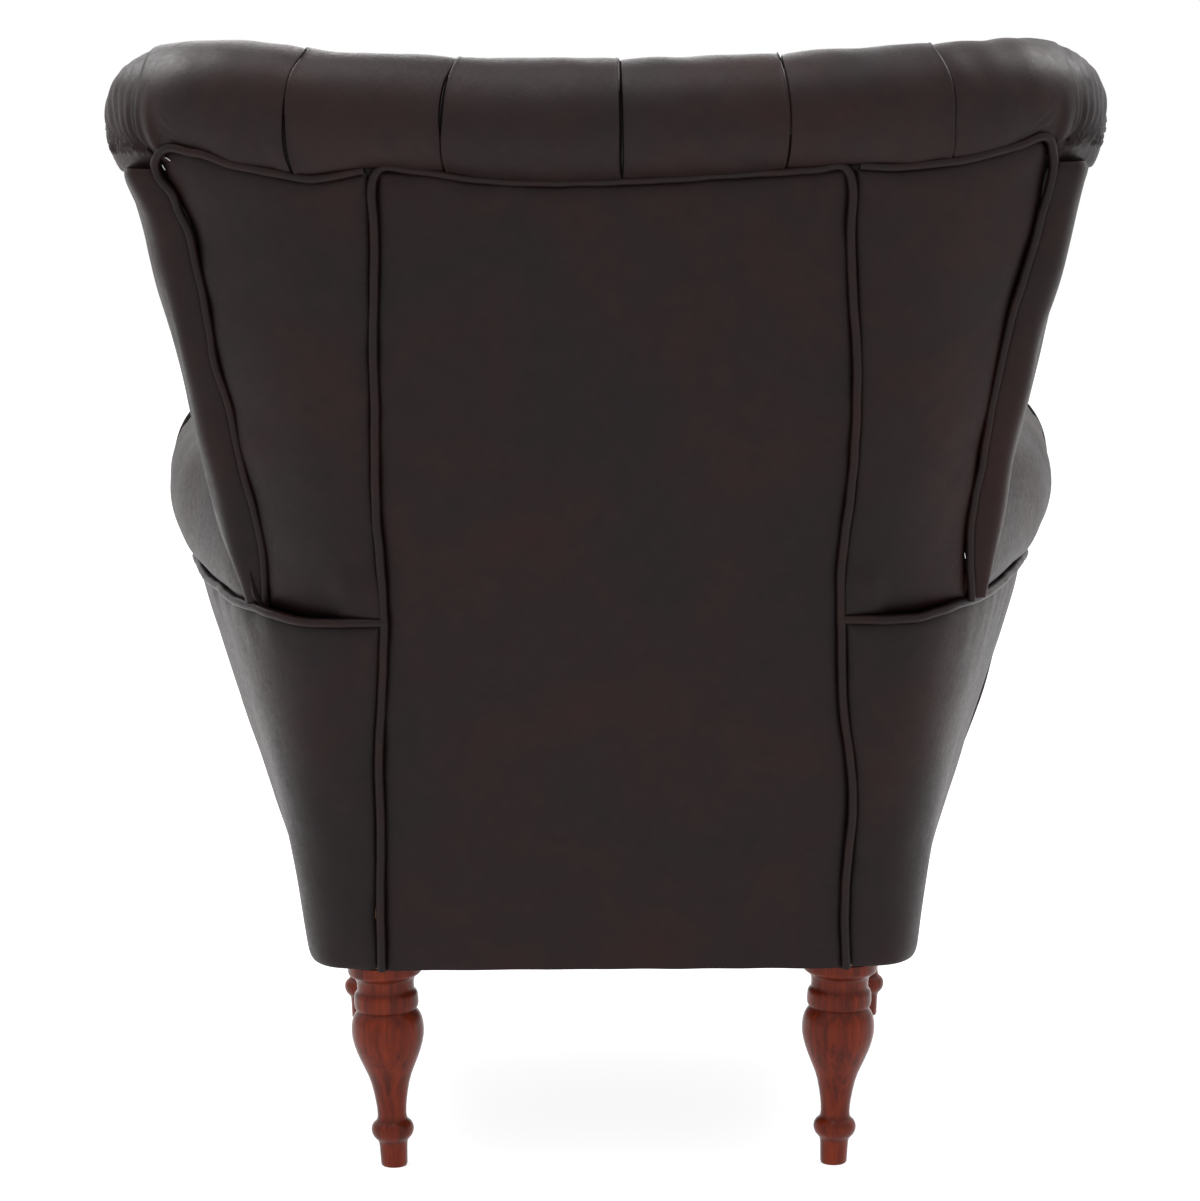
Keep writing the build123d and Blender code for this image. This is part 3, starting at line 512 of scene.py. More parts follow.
# Outside back: three panels and the welts round them
outsideBack = {
    # places of the seams as (height, half width), looked at from behind
    "centreLeft": [(0.186, 0.205), (0.306, 0.203), (0.381, 0.201), (0.454, 0.197), (0.505, 0.193),
                   (0.590, 0.196), (0.653, 0.197), (0.790, 0.193), (0.881, 0.191), (0.93, 0.191)],
    "centreRight": [(0.186, 0.208), (0.266, 0.206), (0.354, 0.210), (0.441, 0.201), (0.500, 0.199),
                    (0.547, 0.198), (0.629, 0.206), (0.764, 0.206), (0.869, 0.201), (0.93, 0.201)],
    "outerLeft": [(0.50, 0.300), (0.519, 0.300), (0.553, 0.300), (0.589, 0.304), (0.620, 0.310),
                  (0.655, 0.318), (0.702, 0.325), (0.730, 0.333), (0.788, 0.341), (0.819, 0.347),
                  (0.855, 0.354), (0.882, 0.368), (0.905, 0.376), (0.93, 0.378)],
    "outerRight": [(0.50, 0.314), (0.524, 0.315), (0.550, 0.313), (0.586, 0.313), (0.622, 0.317),
                   (0.658, 0.322), (0.704, 0.330), (0.746, 0.338), (0.788, 0.347), (0.824, 0.357),
                   (0.867, 0.367), (0.898, 0.373), (0.93, 0.376)],
    # crown line as (place across, height)
    "crown": [(-0.40, 0.922), (-0.362, 0.9195), (-0.3466, 0.9155), (-0.3275, 0.9097), (-0.3024, 0.904),
              (-0.2775, 0.900), (-0.2529, 0.8974), (-0.2407, 0.8963), (-0.203, 0.8985), (-0.180, 0.897),
              (-0.120, 0.893), (-0.053, 0.889), (0.0, 0.887), (0.05, 0.887), (0.110, 0.891), (0.178, 0.899),
              (0.200, 0.8974), (0.2184, 0.8935), (0.2351, 0.891), (0.2584, 0.8925), (0.2767, 0.897),
              (0.2969, 0.901), (0.3115, 0.9045), (0.335, 0.9125), (0.361, 0.917), (0.40, 0.920)],
    # where each outer welt turns the top corner, as (half width, height)
    "cornerLeft": [(0.3618, 0.878), (0.3694, 0.8876), (0.3741, 0.8952), (0.3756, 0.9029), (0.373, 0.9095),
                   (0.3674, 0.9152), (0.361, 0.9171), (0.353, 0.9161), (0.345, 0.9142), (0.335, 0.9128)],
    "cornerRight": [(0.3691, 0.8694), (0.3726, 0.8877), (0.3733, 0.8987), (0.3722, 0.906), (0.3704, 0.9133),
                    (0.3680, 0.9182), (0.3641, 0.9201), (0.3582, 0.9196), (0.3466, 0.9154),
                    (0.3275, 0.9097)],
    "weltRadius": 0.0041, "weltRoom": -0.0026,  # the panels meet under the welts
    "centreTop": 0.884, "cornerRound": 0.014, "cornerTop": 0.917,
    "weltClear": 0.0012, "puff": 0.0022, "puffReach": 0.03, "tuckDepth": 0.0028, "tuckReach": 0.0042,
    "handWave": 0.0010, "handLength": 0.05,
    "slack": [(0.0012, 0.26), (0.0004, 0.07)],  # height and length of the leather's own waves
    # the seam over the outside arm runs lower near the middle
    "seamDip": 0.0066, "dipFrom": 0.318, "dipTo": 0.262,
    # the side panels stand out a little where the back post runs close behind the seam
    "postRise": 0.0048, "postSide": (0.245, 0.018), "postTop": (0.570, 0.035), "freeFoot": 0.016,
    "columns": 110, "rows": 180, "skin": 0.0028, "shade": 0.8,
}


def seamDip(x):
    outer, inner = outsideBack["dipFrom"], outsideBack["dipTo"]
    share = np.clip((outer - np.abs(x)) / (outer - inner), 0, 1)
    return outsideBack["seamDip"] * share**2 * (3 - 2 * share)


def crownAt(x):
    return tableAt(outsideBack["crown"], x)


def seamX(side, which, z):
    return side * tableAt(outsideBack[which + ("Left" if side > 0 else "Right")], z)


def sweptY(x, z):
    # depth of the outside back at a place seen from behind
    side = np.sign(x)
    inner = np.where(side > 0, seamX(1, "centre", z), -seamX(-1, "centre", z))
    outer = np.where(side > 0, seamX(1, "outer", np.maximum(z, 0.5)), -seamX(-1, "outer", np.maximum(z, 0.5)))
    share = np.clip((np.abs(x) - inner) / (outer - inner), 0, 1.3)
    return backY(z) - body["sweep"] * share**2


def edgeShape(nearEdge, points, seed, look):
    # leather is pulled in beside a welt, puffs up away from it and waves where it was tacked by hand
    (longRise, longWave), (shortRise, shortWave) = outsideBack["slack"]
    nearEdge = np.maximum(nearEdge - outsideBack["weltRadius"] - outsideBack["weltClear"], 0)
    # the pull-in beside the welt, which the callers also paint as shade
    tuckedAndShaded = np.exp(-nearEdge / look["tuckReach"])
    away = np.exp(-nearEdge / outsideBack["puffReach"])
    rise = look["puff"] * (1 - away) - look["tuckDepth"] * tuckedAndShaded
    rise += look["handWave"] * waves(points, outsideBack["handLength"], seed) * away
    rise += longRise * waves(points, longWave, seed + 1) + shortRise * waves(points, shortWave, seed + 2)
    return rise, tuckedAndShaded


def sidePanelY(x, z):
    (half, softSide), (top, softTop) = outsideBack["postSide"], outsideBack["postTop"]
    overPost = np.clip((half - np.abs(x)) / softSide, 0, 1) * np.clip((top - z) / softTop, 0, 1)
    return sweptY(x, z) + outsideBack["postRise"] * overPost**2 * (3 - 2 * overPost)


def backPanel(name, leftX, rightX, bottomOf, topOf, depthOf, seed, replaced, look, freeFoot=0.0):
    across, up = crowded(look["columns"]), crowded(look["rows"])
    points = np.zeros((look["rows"], look["columns"], 3))
    for i, v in enumerate(up):
        # a few passes, because the top and bottom lines depend on the place across
        z = body["legTop"] + v * (body["crownMiddle"] - body["legTop"]) * np.ones(look["columns"])
        for _ in range(4):
            x = leftX(z) + across * (rightX(z) - leftX(z))
            z = bottomOf(x) + v * (topOf(x) - bottomOf(x))
        points[i] = np.stack([x, depthOf(x, z), z], 1)
    width = np.linalg.norm(np.diff(points, axis=1), axis=2).sum(1).mean()
    height = np.linalg.norm(np.diff(points, axis=0), axis=2).sum(0).mean()
    ends = np.minimum(up * height + freeFoot, (1 - up) * height)[:, None]
    near = np.minimum(np.minimum(across, 1 - across)[None, :] * width, ends)
    rise, tuckAndShade = edgeShape(near, points, seed, look)
    shaped = points + outward(points, (0, 1, 0)) * rise[..., None]
    # the tuck beside each welt is also painted shade in the colour
    piece = leatherSheet(name, shaped, tuckAndShade * look["shade"], (0, -0.1, 0.5), look["skin"], 40)
    return finishPiece(piece, espresso, replaced)


room = outsideBack["weltRoom"]
backPanel("outsideBackCentre",
          lambda z: seamX(1, "centre", z) - room, lambda z: seamX(-1, "centre", z) + room,
          lambda x: body["legTop"] + 0.001 + 0 * x, lambda x: crownAt(x) - room,
          lambda x, z: backY(z), 11, ["outside_back_centre"], outsideBack, outsideBack["freeFoot"])


def roundedEdge(side, z):
    # outer edge of a side panel, rounded off where the welt turns the top corner
    radius, top = outsideBack["cornerRound"], outsideBack["cornerTop"]
    rise = np.clip(z - (top - radius), 0, radius)
    return seamX(side, "outer", z) - side * (room + radius - np.sqrt(radius**2 - rise**2))


for side, tag in sides:
    backPanel("outsideBackSide" + tag.title(),
              lambda z: roundedEdge(side, z), lambda z: seamX(side, "centre", z) + side * room,
              lambda x: body["armSeam"] + room - seamDip(x), lambda x: crownAt(x) - room,
              sidePanelY, 20 + side, ["outside_back_side_" + tag], outsideBack)
print("outside back panels made")


def tubeAlong(name, points, radius, sides=12, taper=True):
    # a round bar swept along points, as a bevelled curve made into a mesh
    curve = bpy.data.curves.new(name, "CURVE")
    curve.dimensions, curve.bevel_depth, curve.bevel_resolution = "3D", radius, max(1, sides // 4)
    curve.use_fill_caps = True
    line = curve.splines.new("POLY")
    line.points.add(len(points) - 1)
    line.points.foreach_set("co", np.hstack([points, np.ones((len(points), 1))]).reshape(-1))
    piece = bpy.data.objects.new(name, curve)
    bpy.context.scene.collection.objects.link(piece)
    onlyActive(piece)
    bpy.ops.object.convert(target="MESH")
    piece = bpy.context.object
    smooth(piece, 60)
    return piece


def wobble(points, seed, amount=0.0009):
    # a hand-sewn welt never runs quite straight, and its ends stay where they are
    share = np.linspace(0, 1, len(points))
    hold = np.clip(np.minimum(share, 1 - share) * 14, 0, 1)[:, None]
    freedom = (1.0, 0.3, 1.0)  # less towards the panel and away from it
    drift = np.stack([waves(points, 0.11, seed + k) for k in range(3)], 1) * freedom
    quiver = np.stack([waves(points, 0.03, seed + 7 + k) for k in range(3)], 1) * freedom
    return points + hold * (amount * drift + amount * 0.4 * quiver)


def onBack(pairs, lift=0.0008):
    pairs = np.array(pairs, float)
    return np.stack([pairs[:, 0], sweptY(pairs[:, 0], pairs[:, 1]) + lift, pairs[:, 1]], 1)


def weltPiece(name, points, seed, replaced, count=260, amount=0.0009):
    line = smoothLine(points, count)
    piece = tubeAlong(name, wobble(line, seed, amount), outsideBack["weltRadius"])
    return finishPiece(piece, espressoTrim, replaced)


def uprightPairs(side, which, low, high, count):
    return [(float(seamX(side, which, z)), z) for z in np.linspace(low, high, count)]


def centreWelt():
    top = outsideBack["centreTop"]
    left = uprightPairs(1, "centre", body["legTop"] + 0.001, top, 26)
    right = uprightPairs(-1, "centre", top, body["legTop"] + 0.001, 26)
    across = [(x, float(crownAt(x))) for x in np.linspace(left[-1][0] - 0.007, right[0][0] + 0.007, 22)]
    weltPiece("weltCentre", onBack(left + across + right), 31,
              ["centre_welt_left", "centre_welt_right", "crown_welt"], 560)


def sideWelt(side, tag):
    corner = [(side * x, z) for x, z in outsideBack["corner" + tag.title()]]
    low = uprightPairs(side, "outer", body["armSeam"] + 0.002, corner[0][1] - 0.012, 22)
    start, end = corner[-1][0] - side * 0.008, float(seamX(side, "centre", 0.89)) + side * 0.007
    across = [(x, float(crownAt(x)) + 0.0005) for x in np.linspace(start, end, 12)]
    weltPiece("weltSide" + tag.title(), onBack(low + corner + across), 40 + side, ["outer_welt_" + tag], 360)


centreWelt()
for side, tag in sides:
    sideWelt(side, tag)
print("back welts made")

# Outside arms, from the centre panel's welt round the corner to the arm front
outsideArm = {
    # plan points at the foot and at the seam, (half width, depth)
    "foot": [(0.202, 0.2221), (0.2245, 0.2200), (0.2528, 0.2079), (0.2703, 0.1759), (0.2720, 0.1386),
             (0.2717, 0.0889), (0.2788, 0.0271), (0.2898, -0.0467), (0.3015, -0.1393), (0.3138, -0.2443),
             (0.331, -0.3549)],
    "seam": [(0.202, 0.2861), (0.2278, 0.2866), (0.2628, 0.2778), (0.2969, 0.2512), (0.3203, 0.2145),
             (0.3410, 0.1602), (0.3596, 0.0900), (0.3808, 0.0055), (0.4004, -0.1017), (0.4142, -0.2244),
             (0.4235, -0.3549)],
    "columns": 190, "rows": 90, "puff": 0.003, "tuckDepth": 0.0032, "tuckReach": 0.0042,
    "handWave": 0.0012, "skin": 0.0028, "footRound": 0.0022, "footReach": 0.004, "shade": 0.8,
    "fanAt": 0.30, "fanWidth": 0.12, "fanDrop": 0.25, "fanRise": 0.0008, "fanWave": 0.06,
}


def armPlan(z, count, spacing=None, side=1):
    share = (z - body["legTop"]) / (body["armSeam"] - body["legTop"])
    low, high = np.array(outsideArm["foot"]), np.array(outsideArm["seam"])
    plan = low + (high - low) * share
    plan[0, 0] = abs(float(seamX(side, "centre", max(z, 0.186)))) + room
    line = smoothLine(plan, count, spacing)
    return np.stack([side * line[:, 0], line[:, 1], np.full(count, z)], 1)


def outsideArmPiece(side, tag, look):
    across, up = crowded(look["columns"]), crowded(look["rows"])
    bottom, top = body["legTop"] + 0.001, body["armSeam"] - room
    points = np.array([armPlan(bottom + v * (top - bottom), look["columns"], across, side) for v in up])
    points[..., 2] -= seamDip(points[-1, :, 0])[None, :] * up[:, None] ** 2
    width = np.linalg.norm(np.diff(points, axis=1), axis=2).sum(1)[:, None]
    near = np.minimum(np.minimum(across[None, :] * width, 1.0), ((1 - up) * (top - bottom))[:, None])
    low = (up * (top - bottom))[:, None]
    rise, tuckAndShade = edgeShape(near, points, 50 + side, look)
    rise = rise - look["footRound"] * np.exp(-low / look["footReach"])
    # pull lines that fan from the rear corner where the leather is drawn up to the seam
    fan = np.exp(-((across - look["fanAt"]) / look["fanWidth"]) ** 2)[None, :]
    fan = fan * np.exp(-((1 - up)[:, None]) / look["fanDrop"])
    rise = rise + look["fanRise"] * fan * waves(points * (1.0, 1.0, 0.35), look["fanWave"], 55 + side)
    shaped = points + outward(points, (side, 0, 0)) * rise[..., None]
    inside = (0, -0.06, 0.35)
    # the tuck beside the seam and edges is also painted shade in the colour
    piece = leatherSheet("outsideArm" + tag.title(), shaped, tuckAndShade * look["shade"], inside, look["skin"], 40)
    finishPiece(piece, espresso, ["outside_arm_" + tag])
    seam = armPlan(body["armSeam"], 200, None, side)
    seam[:, 2] += 0.001 - seamDip(seam[:, 0])
    weltPiece("weltSeam" + tag.title(), seam, 60 + side, ["seam_welt_" + tag], 320, 0.0011)


for side, tag in sides:
    outsideArmPiece(side, tag, outsideArm)
print("outside arms made")

# Wings
wing = {
    # half width of the outer edge seen from behind, by height
    "outer": [(0.47, 0.302), (0.520, 0.312), (0.541, 0.327), (0.563, 0.340), (0.582, 0.3475),
              (0.624, 0.356), (0.671, 0.3655), (0.704, 0.3715), (0.754, 0.3815), (0.785, 0.3895),
              (0.840, 0.4015), (0.879, 0.4105), (0.903, 0.418), (0.93, 0.424)],
    "reach": [(0.47, 0.140), (0.522, 0.150), (0.706, 0.168), (0.917, 0.176)],
    "edge": 0.074, "lipShare": 0.74, "top": 0.8945, "hem": 0.004,
    "joinHalf": [(0.47, 0.242), (0.522, 0.242), (0.706, 0.262), (0.917, 0.284)],
    "stuffing": [(0.333, 0.128), (0.706, 0.122), (0.917, 0.104)],  # thickness of the stuffed back
    "stuffingCurve": 0.024, "seatAngle": 41.0, "sink": 0.030, "columns": 96, "rows": 120, "skin": 0.003,
    "heelDepth": 0.0010, "heelReach": 0.0035, "heelHold": 0.012, "shade": 0.8,
    "heelUnder": 0.006, "heelSink": 0.0022, "heelFlat": 0.012, "flatSink": 0.0015, "joinUnder": 0.012,
    "foldRise": 0.0020, "foldReach": 0.03, "hemDepth": 0.004,
}


def stuffedDepth(z):
    return np.interp(z, *np.array(wing["stuffing"]).T)


def wingRow(side, z, columns):
    rear = backY(z) - body["sweep"]
    heel = abs(float(seamX(side, "outer", max(z, 0.5))))
    outer = float(tableAt(wing["outer"], z))
    reach = float(np.interp(z, *np.array(wing["reach"]).T))
    join = float(np.interp(z, *np.array(wing["joinHalf"]).T))
    proud = outer - heel
    front = backY(z) - stuffedDepth(z) - wing["stuffingCurve"]
    points = [(heel - wing["heelUnder"], rear - wing["heelSink"]),
              (heel + wing["heelFlat"] + proud * 0.25, rear - wing["flatSink"]),
              (heel + proud * 0.86, rear - reach * 0.3), (heel + proud, rear - reach * 0.68),
              (outer - wing["edge"] / 2, rear - reach),
              (outer - wing["edge"], rear - reach * wing["lipShare"]),
              (join - wing["joinUnder"], front + wing["joinUnder"])]
    line = smoothLine(points, columns)
    return np.stack([side * line[:, 0], line[:, 1], np.full(columns, z)], 1)


def wingPiece(side, tag, look):
    # the wing stands on the arm along a slope, so each column starts at its own height
    heights = np.linspace(0.50, 0.922, 90)
    stack = np.array([wingRow(side, z, look["columns"]) for z in heights])
    seatFoot = backY(body["armSeam"]) - body["sweep"]
    points = np.zeros((look["rows"], look["columns"], 3))
    for j in range(look["columns"]):
        away = max(0.0, seatFoot - stack[30, j, 1])
        slope = away * math.tan(math.radians(look["seatAngle"]))
        low = body["armSeam"] + body["armLift"] + max(0.0, slope - look["sink"])
        inward = np.clip((j / look["columns"] - 0.74) / 0.08, 0, 1)
        z = low + np.linspace(0, 1, look["rows"]) * (look["top"] + look["hem"] + 0.012 * inward - low)
        for k in (0, 1):
            points[:, j, k] = np.interp(z, heights, stack[:, j, k])
        points[:, j, 2] = z
    share = np.linspace(0, 1, look["columns"])
    width = np.linalg.norm(np.diff(points, axis=1), axis=2).sum(1)[:, None]
    near = share[None, :] * width
    # the tuck at the heel, also painted shade in the colour
    tuckAndShade = np.exp(-near / look["heelReach"])
    held = 1 - np.exp(-near / look["heelHold"])
    rise = 0.0014 * waves(points, 0.12, 70 + side) + 0.0007 * waves(points * (1, 1, 0.4), 0.035, 72 + side)
    rise = rise * held - look["heelDepth"] * tuckAndShade
    # the leather pulls out of the joint with the arm in short folds
    low = points[..., 2] - points[0, :, 2][None, :]
    folds = waves(points * (1.0, 1.0, 0.2), 0.03, 75 + side)
    rise += look["foldRise"] * np.exp(-low / look["foldReach"]) * folds * held
    rise -= look["hemDepth"] * np.exp(-np.abs(look["top"] + look["hem"] - points[..., 2]) / look["hem"])
    shaped = points + outward(points, (side, 0, 0)) * rise[..., None]
    inside = (side * 0.33, 0.17, 0.7)
    piece = leatherSheet("wing" + tag.title(), shaped, tuckAndShade * look["shade"], inside, look["skin"], 50)
    finishPiece(piece, espresso, ["wing_" + tag])


for side, tag in sides:
    wingPiece(side, tag, wing)
print("wings made")

# Arms: the stuffed top with its scroll
arm = {
    # by depth, from the front back: foot of the inside, overhang past the seam and rise above it
    "inner": [(-0.3549, 0.272), (-0.0299, 0.259), (0.1534, 0.249), (0.2361, 0.245)],
    "over": [(-0.3549, 0.029), (-0.0299, 0.021), (0.1534, 0.011), (0.2361, 0.005)],
    "rise": [(-0.3549, 0.144), (-0.0299, 0.135), (0.1534, 0.120), (0.2361, 0.092)],
    "crown": [(0.0, 0.66), (0.18, 0.93), (0.5, 1.0), (0.88, 0.83), (1.0, 0.42)],
    "innerLow": 0.318, "underSeam": 0.008, "columns": 110, "rows": 120, "skin": 0.003, "shade": 0.8,
    "boardRoom": 0.007, "boardFront": -0.300, "boardBlend": 0.030,  # room for the arm board near the front
    "tuckDepth": 0.002, "slack": 0.0016, "gatherRise": 0.0016, "gatherReach": 0.045, "gatherTurns": 150,
}
seamByDepth = [(y, x) for x, y in outsideArm["seam"][3:]]


def armSection(y):
    # cross points of the arm, from the foot of its inside over the crown to under the seam
    tables = (seamByDepth, arm["inner"], arm["over"], arm["rise"])
    seam, inner, over, rise = (float(tableAt(table, y)) for table in tables)
    base, span = body["armSeam"] + body["armLift"], seam + over - inner
    crown = [(inner + span * across, base + rise * up) for across, up in arm["crown"]]
    wall = [(inner, arm["innerLow"] + (crown[0][1] - arm["innerLow"]) * t) for t in (0, 0.5, 0.8)]
    atBoard = arm["boardRoom"] * float(np.clip((arm["boardFront"] - y) / arm["boardBlend"], 0, 1))
    foot = [(seam + over * 0.68, base + rise * 0.17), (seam + over * 0.26 + atBoard, base + rise * 0.055),
            (seam - 0.001 + 0.5 * atBoard, base), (seam - 0.004, base - arm["underSeam"])]
    return wall + crown + foot


def armPiece(side, tag, look):
    depths = np.linspace(look["inner"][0][0], look["inner"][-1][0], look["rows"])
    points = np.zeros((look["rows"], look["columns"], 3))
    for row, y in enumerate(depths):
        line = smoothLine(armSection(y), look["columns"])
        points[row] = np.stack([side * line[:, 0], np.full(look["columns"], y), line[:, 1]], 1)
    normal = outward(points, points - points.mean(axis=(0, 1)))
    lengths = np.linspace(0, 1, look["columns"])[None, :]
    fromFront = (depths - depths[0])[:, None]
    # the tuck under the seam and at the front, also painted shade in the colour
    tuckAndShade = np.maximum(np.exp(-np.abs(1 - lengths - 0.016) * 0.55 / 0.004), np.exp(-fromFront / 0.004))
    rise = -look["tuckDepth"] * tuckAndShade + look["slack"] * waves(points, 0.16, 80 + side)
    # gathers that run back from the arm front over the crown
    gather = np.exp(-fromFront / look["gatherReach"])
    gather = gather * np.clip((lengths - 0.25) / 0.2, 0, 1) * np.clip((1 - lengths) / 0.05, 0, 1)
    ridges = np.sin(lengths * look["gatherTurns"] + 2.0 * waves(points, 0.1, 83))
    rise = rise + look["gatherRise"] * gather * ridges
    shaped, inside = points + normal * rise[..., None], (side * 0.35, -0.05, 0.5)
    piece = leatherSheet("armPad" + tag.title(), shaped, tuckAndShade * look["shade"], inside, look["skin"], 50)
    finishPiece(piece, espresso, ["arm_pad_" + tag])


for side, tag in sides:
    armPiece(side, tag, arm)
print("arms made")


# Padded pieces that start from their own solid
def softCopy(name, node, voxel, relax=6, seed=0, amount=0.001, wavelength=0.09):
    # a copy of the solid, joined up, remeshed evenly and relaxed
    piece = mergedCopy(node, name)
    modify(piece, "REMESH", mode="VOXEL", voxel_size=voxel)
    if relax:
        modify(piece, "SMOOTH", factor=0.5, iterations=relax)
    co, normal = meshArrays(piece)
    setPoints(piece, co + normal * (amount * waves(co, wavelength, seed))[:, None])
    return piece


# Arm fronts: a thin padded panel with a welt round it
facing = {
    "outer": [(0.331, 0.189), (0.353, 0.246), (0.390, 0.343), (0.409, 0.434), (0.430, 0.512)],
    "innerHalf": 0.272, "innerTop": 0.45, "innerFoot": 0.335,
    "slim": 0.0042, "slimFrom": 0.30, "slimBlend": 0.03, "voxel": 0.0034, "swell": 0.004, "swellReach": 0.02,
    "weltRadius": 0.0038, "weltAhead": 0.009, "shade": 0.95,
}


def facingOutline(look):
    inner, rise = arm["inner"][0][1], arm["rise"][0][1]
    base = body["armSeam"] + body["armLift"]
    span = seamByDepth[-1][1] + arm["over"][0][1] - inner
    crown = [(inner + span * a, base + rise * u) for a, u in arm["crown"]]
    outer = smoothLine(look["outer"] + crown[::-1], 160)
    inside = [tuple(outer[-1]), (look["innerHalf"], look["innerTop"]), (look["innerHalf"], look["innerFoot"])]
    return np.vstack([outer, smoothLine(inside, 30)[1:]])


def facingPiece(side, tag, look):
    piece = softCopy("armFront" + tag.title(), "arm_facing_" + tag, look["voxel"], 5, 90 + side, 0.0004, 0.05)
    co, normal = meshArrays(piece)
    outline = facingOutline(look)
    flat = np.stack([co[:, 0] * side, co[:, 2]], 1)
    near = np.full(len(flat), 9.0)
    for a in range(0, len(outline), 2):
        near = np.minimum(near, np.linalg.norm(flat - outline[a], axis=1))
    ahead = np.clip(-normal[:, 1], 0, 1)
    co[:, 1] -= look["swell"] * (1 - np.exp(-near / look["swellReach"])) * ahead
    outerSide = np.clip((flat[:, 0] - look["slimFrom"]) / look["slimBlend"], 0, 1)
    co[:, 0] -= side * look["slim"] * outerSide
    setPoints(piece, co)
    # painted shade on the facing's rear and outer side faces, low down beside the outside arm
    behind = np.clip((normal[:, 1] + 0.45) / 0.3, 0, 1) * outerSide * np.clip((0.55 - co[:, 2]) / 0.05, 0, 1)
    paintTuckShade(piece, look["shade"] * behind)
    smooth(piece)
    finishPiece(piece, espresso, ["arm_facing_" + tag])
    ahead = np.full(len(outline), body["front"] - look["weltAhead"])
    line = np.stack([side * outline[:, 0], ahead, outline[:, 1]], 1)
    weltLine = tubeAlong("weltArmFront" + tag.title(), wobble(line, 95 + side, 0.0006), look["weltRadius"])
    finishPiece(weltLine, espressoTrim)


for side, tag in sides:
    facingPiece(side, tag, facing)
print("arm fronts made")

# Front border below the cushion
border = {
    "voxel": 0.0045, "slack": 0.0012, "slackLength": 0.11,
    "half": 0.27, "foot": 0.19, "top": 0.333, "sideBlend": 0.04, "edgeBlend": 0.03, "swell": 0.005,
}


def borderPiece(look):
    piece = softCopy("frontBorder", "front_border", look["voxel"], 6, 101, look["slack"], look["slackLength"])
    co, normal = meshArrays(piece)
    inX = np.clip((look["half"] - np.abs(co[:, 0])) / look["sideBlend"], 0, 1)
    inZ = np.clip(np.minimum(co[:, 2] - look["foot"], look["top"] - co[:, 2]) / look["edgeBlend"], 0, 1)
    co[:, 1] -= look["swell"] * np.sqrt(inX * inZ) * np.clip(-normal[:, 1], 0, 1)
    setPoints(piece, co)
    smooth(piece)
    finishPiece(piece, espresso, ["front_border"])


borderPiece(border)
print("border made")

# Stuffed deck under the cushion
deck = {"voxel": 0.007, "slack": 0.002, "slackLength": 0.14}
deckPad = softCopy("deckPad", "deck_pad", deck["voxel"], 6, 103, deck["slack"], deck["slackLength"])
smooth(deckPad)
finishPiece(deckPad, hessian, ["deck_pad"])
print("deck made")

# Top roll with its sewn-in pleats
roll = {
    "deep": 0.058, "high": 0.053,
    # plan of the roll's middle line, as (half width, set forward)
    "path": [(0, 0), (0.136, -0.004), (0.204, -0.0127), (0.268, -0.030), (0.318, -0.0535), (0.351, -0.088),
             (0.369, -0.130), (0.377, -0.186)],
    # its height above the crown, by the run along it from the right end to the left
    "rises": [(-0.48, 0.052), (-0.42, 0.0565), (-0.38, 0.0575), (-0.34, 0.0565), (-0.305, 0.0535),
              (-0.27, 0.053), (-0.24, 0.0505), (-0.17, 0.048), (-0.136, 0.0460), (0, 0.042),
              (0.136, 0.0445), (0.19, 0.0475), (0.225, 0.0500), (0.26, 0.055), (0.295, 0.058),
              (0.325, 0.0597), (0.36, 0.0597), (0.42, 0.058), (0.48, 0.053)],
    "sizes": [(0, 1.0), (0.41, 1.0), (0.45, 0.975), (0.48, 0.91)],
    # pleats from the crown seam to the top, as (share of the height, place across at the depth pleatPlane)
    "pleats": [
        [(0, 0.2504), (0.12, 0.2567), (0.27, 0.2604), (0.46, 0.2609), (0.65, 0.2589), (0.85, 0.2520),
         (1, 0.2412)],
        [(0, 0.1308), (0.12, 0.1328), (0.32, 0.1337), (0.5, 0.1337), (0.68, 0.1318), (0.86, 0.1268),
         (1, 0.1187)],
        [(0, -0.0130), (0.5, -0.0130), (1, -0.0120)],
        [(0, -0.1459), (0.1, -0.1479), (0.35, -0.1499), (0.62, -0.1490), (0.85, -0.1449), (1, -0.1409)],
        [(0, -0.2786), (0.13, -0.2817), (0.32, -0.2828), (0.5, -0.2831), (0.68, -0.2806), (0.87, -0.2724),
         (1, -0.2635)]],
    "pleatPlane": 0.385, "frontPlaces": [0.276, 0.138, 0.0, -0.138, -0.276],
    "lapSides": [1, 1, -1, -1, -1],  # the side of each pleat that lies under the other
    "pleatDepth": 0.0022, "pleatWidth": 0.0007, "lap": 0.0013, "lapReach": 0.011,
    "lipRise": 0.0006, "lipAt": 0.0022, "lipWidth": 0.0013, "slump": 0.0018, "slumpReach": 0.026,
    "cornerAcross": 0.372, "cornerHeight": 0.911, "least": 0.0004,
    "foldOut": 0.025, "foldStep": 0.0030, "foldBlend": 0.0014, "foldReach": 0.012, "foldCrease": 0.0010,
    "gather": 0.0014, "gatherStep": 0.0066, "gatherReach": 0.045,
    "drape": 0.0013, "drapeStep": 0.013, "drapeAcross": 0.026, "drapeHigh": 0.022,
    "slack": [(0.0012, 0.11), (0.0005, 0.04)],
    "footDepth": 0.0025, "footReach": 0.0045, "domeOut": 0.020, "domeRings": 12,
    "columns": 50, "endColumns": 160, "rows": 104, "puff": 0.0022, "skin": 0.003,
}
rollLine = smoothLine([(-x, y) for x, y in roll["path"][:0:-1]] + roll["path"], 801)
rollRun = np.concatenate([[0], np.cumsum(np.linalg.norm(np.diff(rollLine, axis=0), axis=1))])
rollRun -= rollRun[400]
rollHeading = np.gradient(rollLine, rollRun, axis=0)
rollHeading /= np.linalg.norm(rollHeading, axis=1, keepdims=True)
rollHalf = float(rollRun[-1])


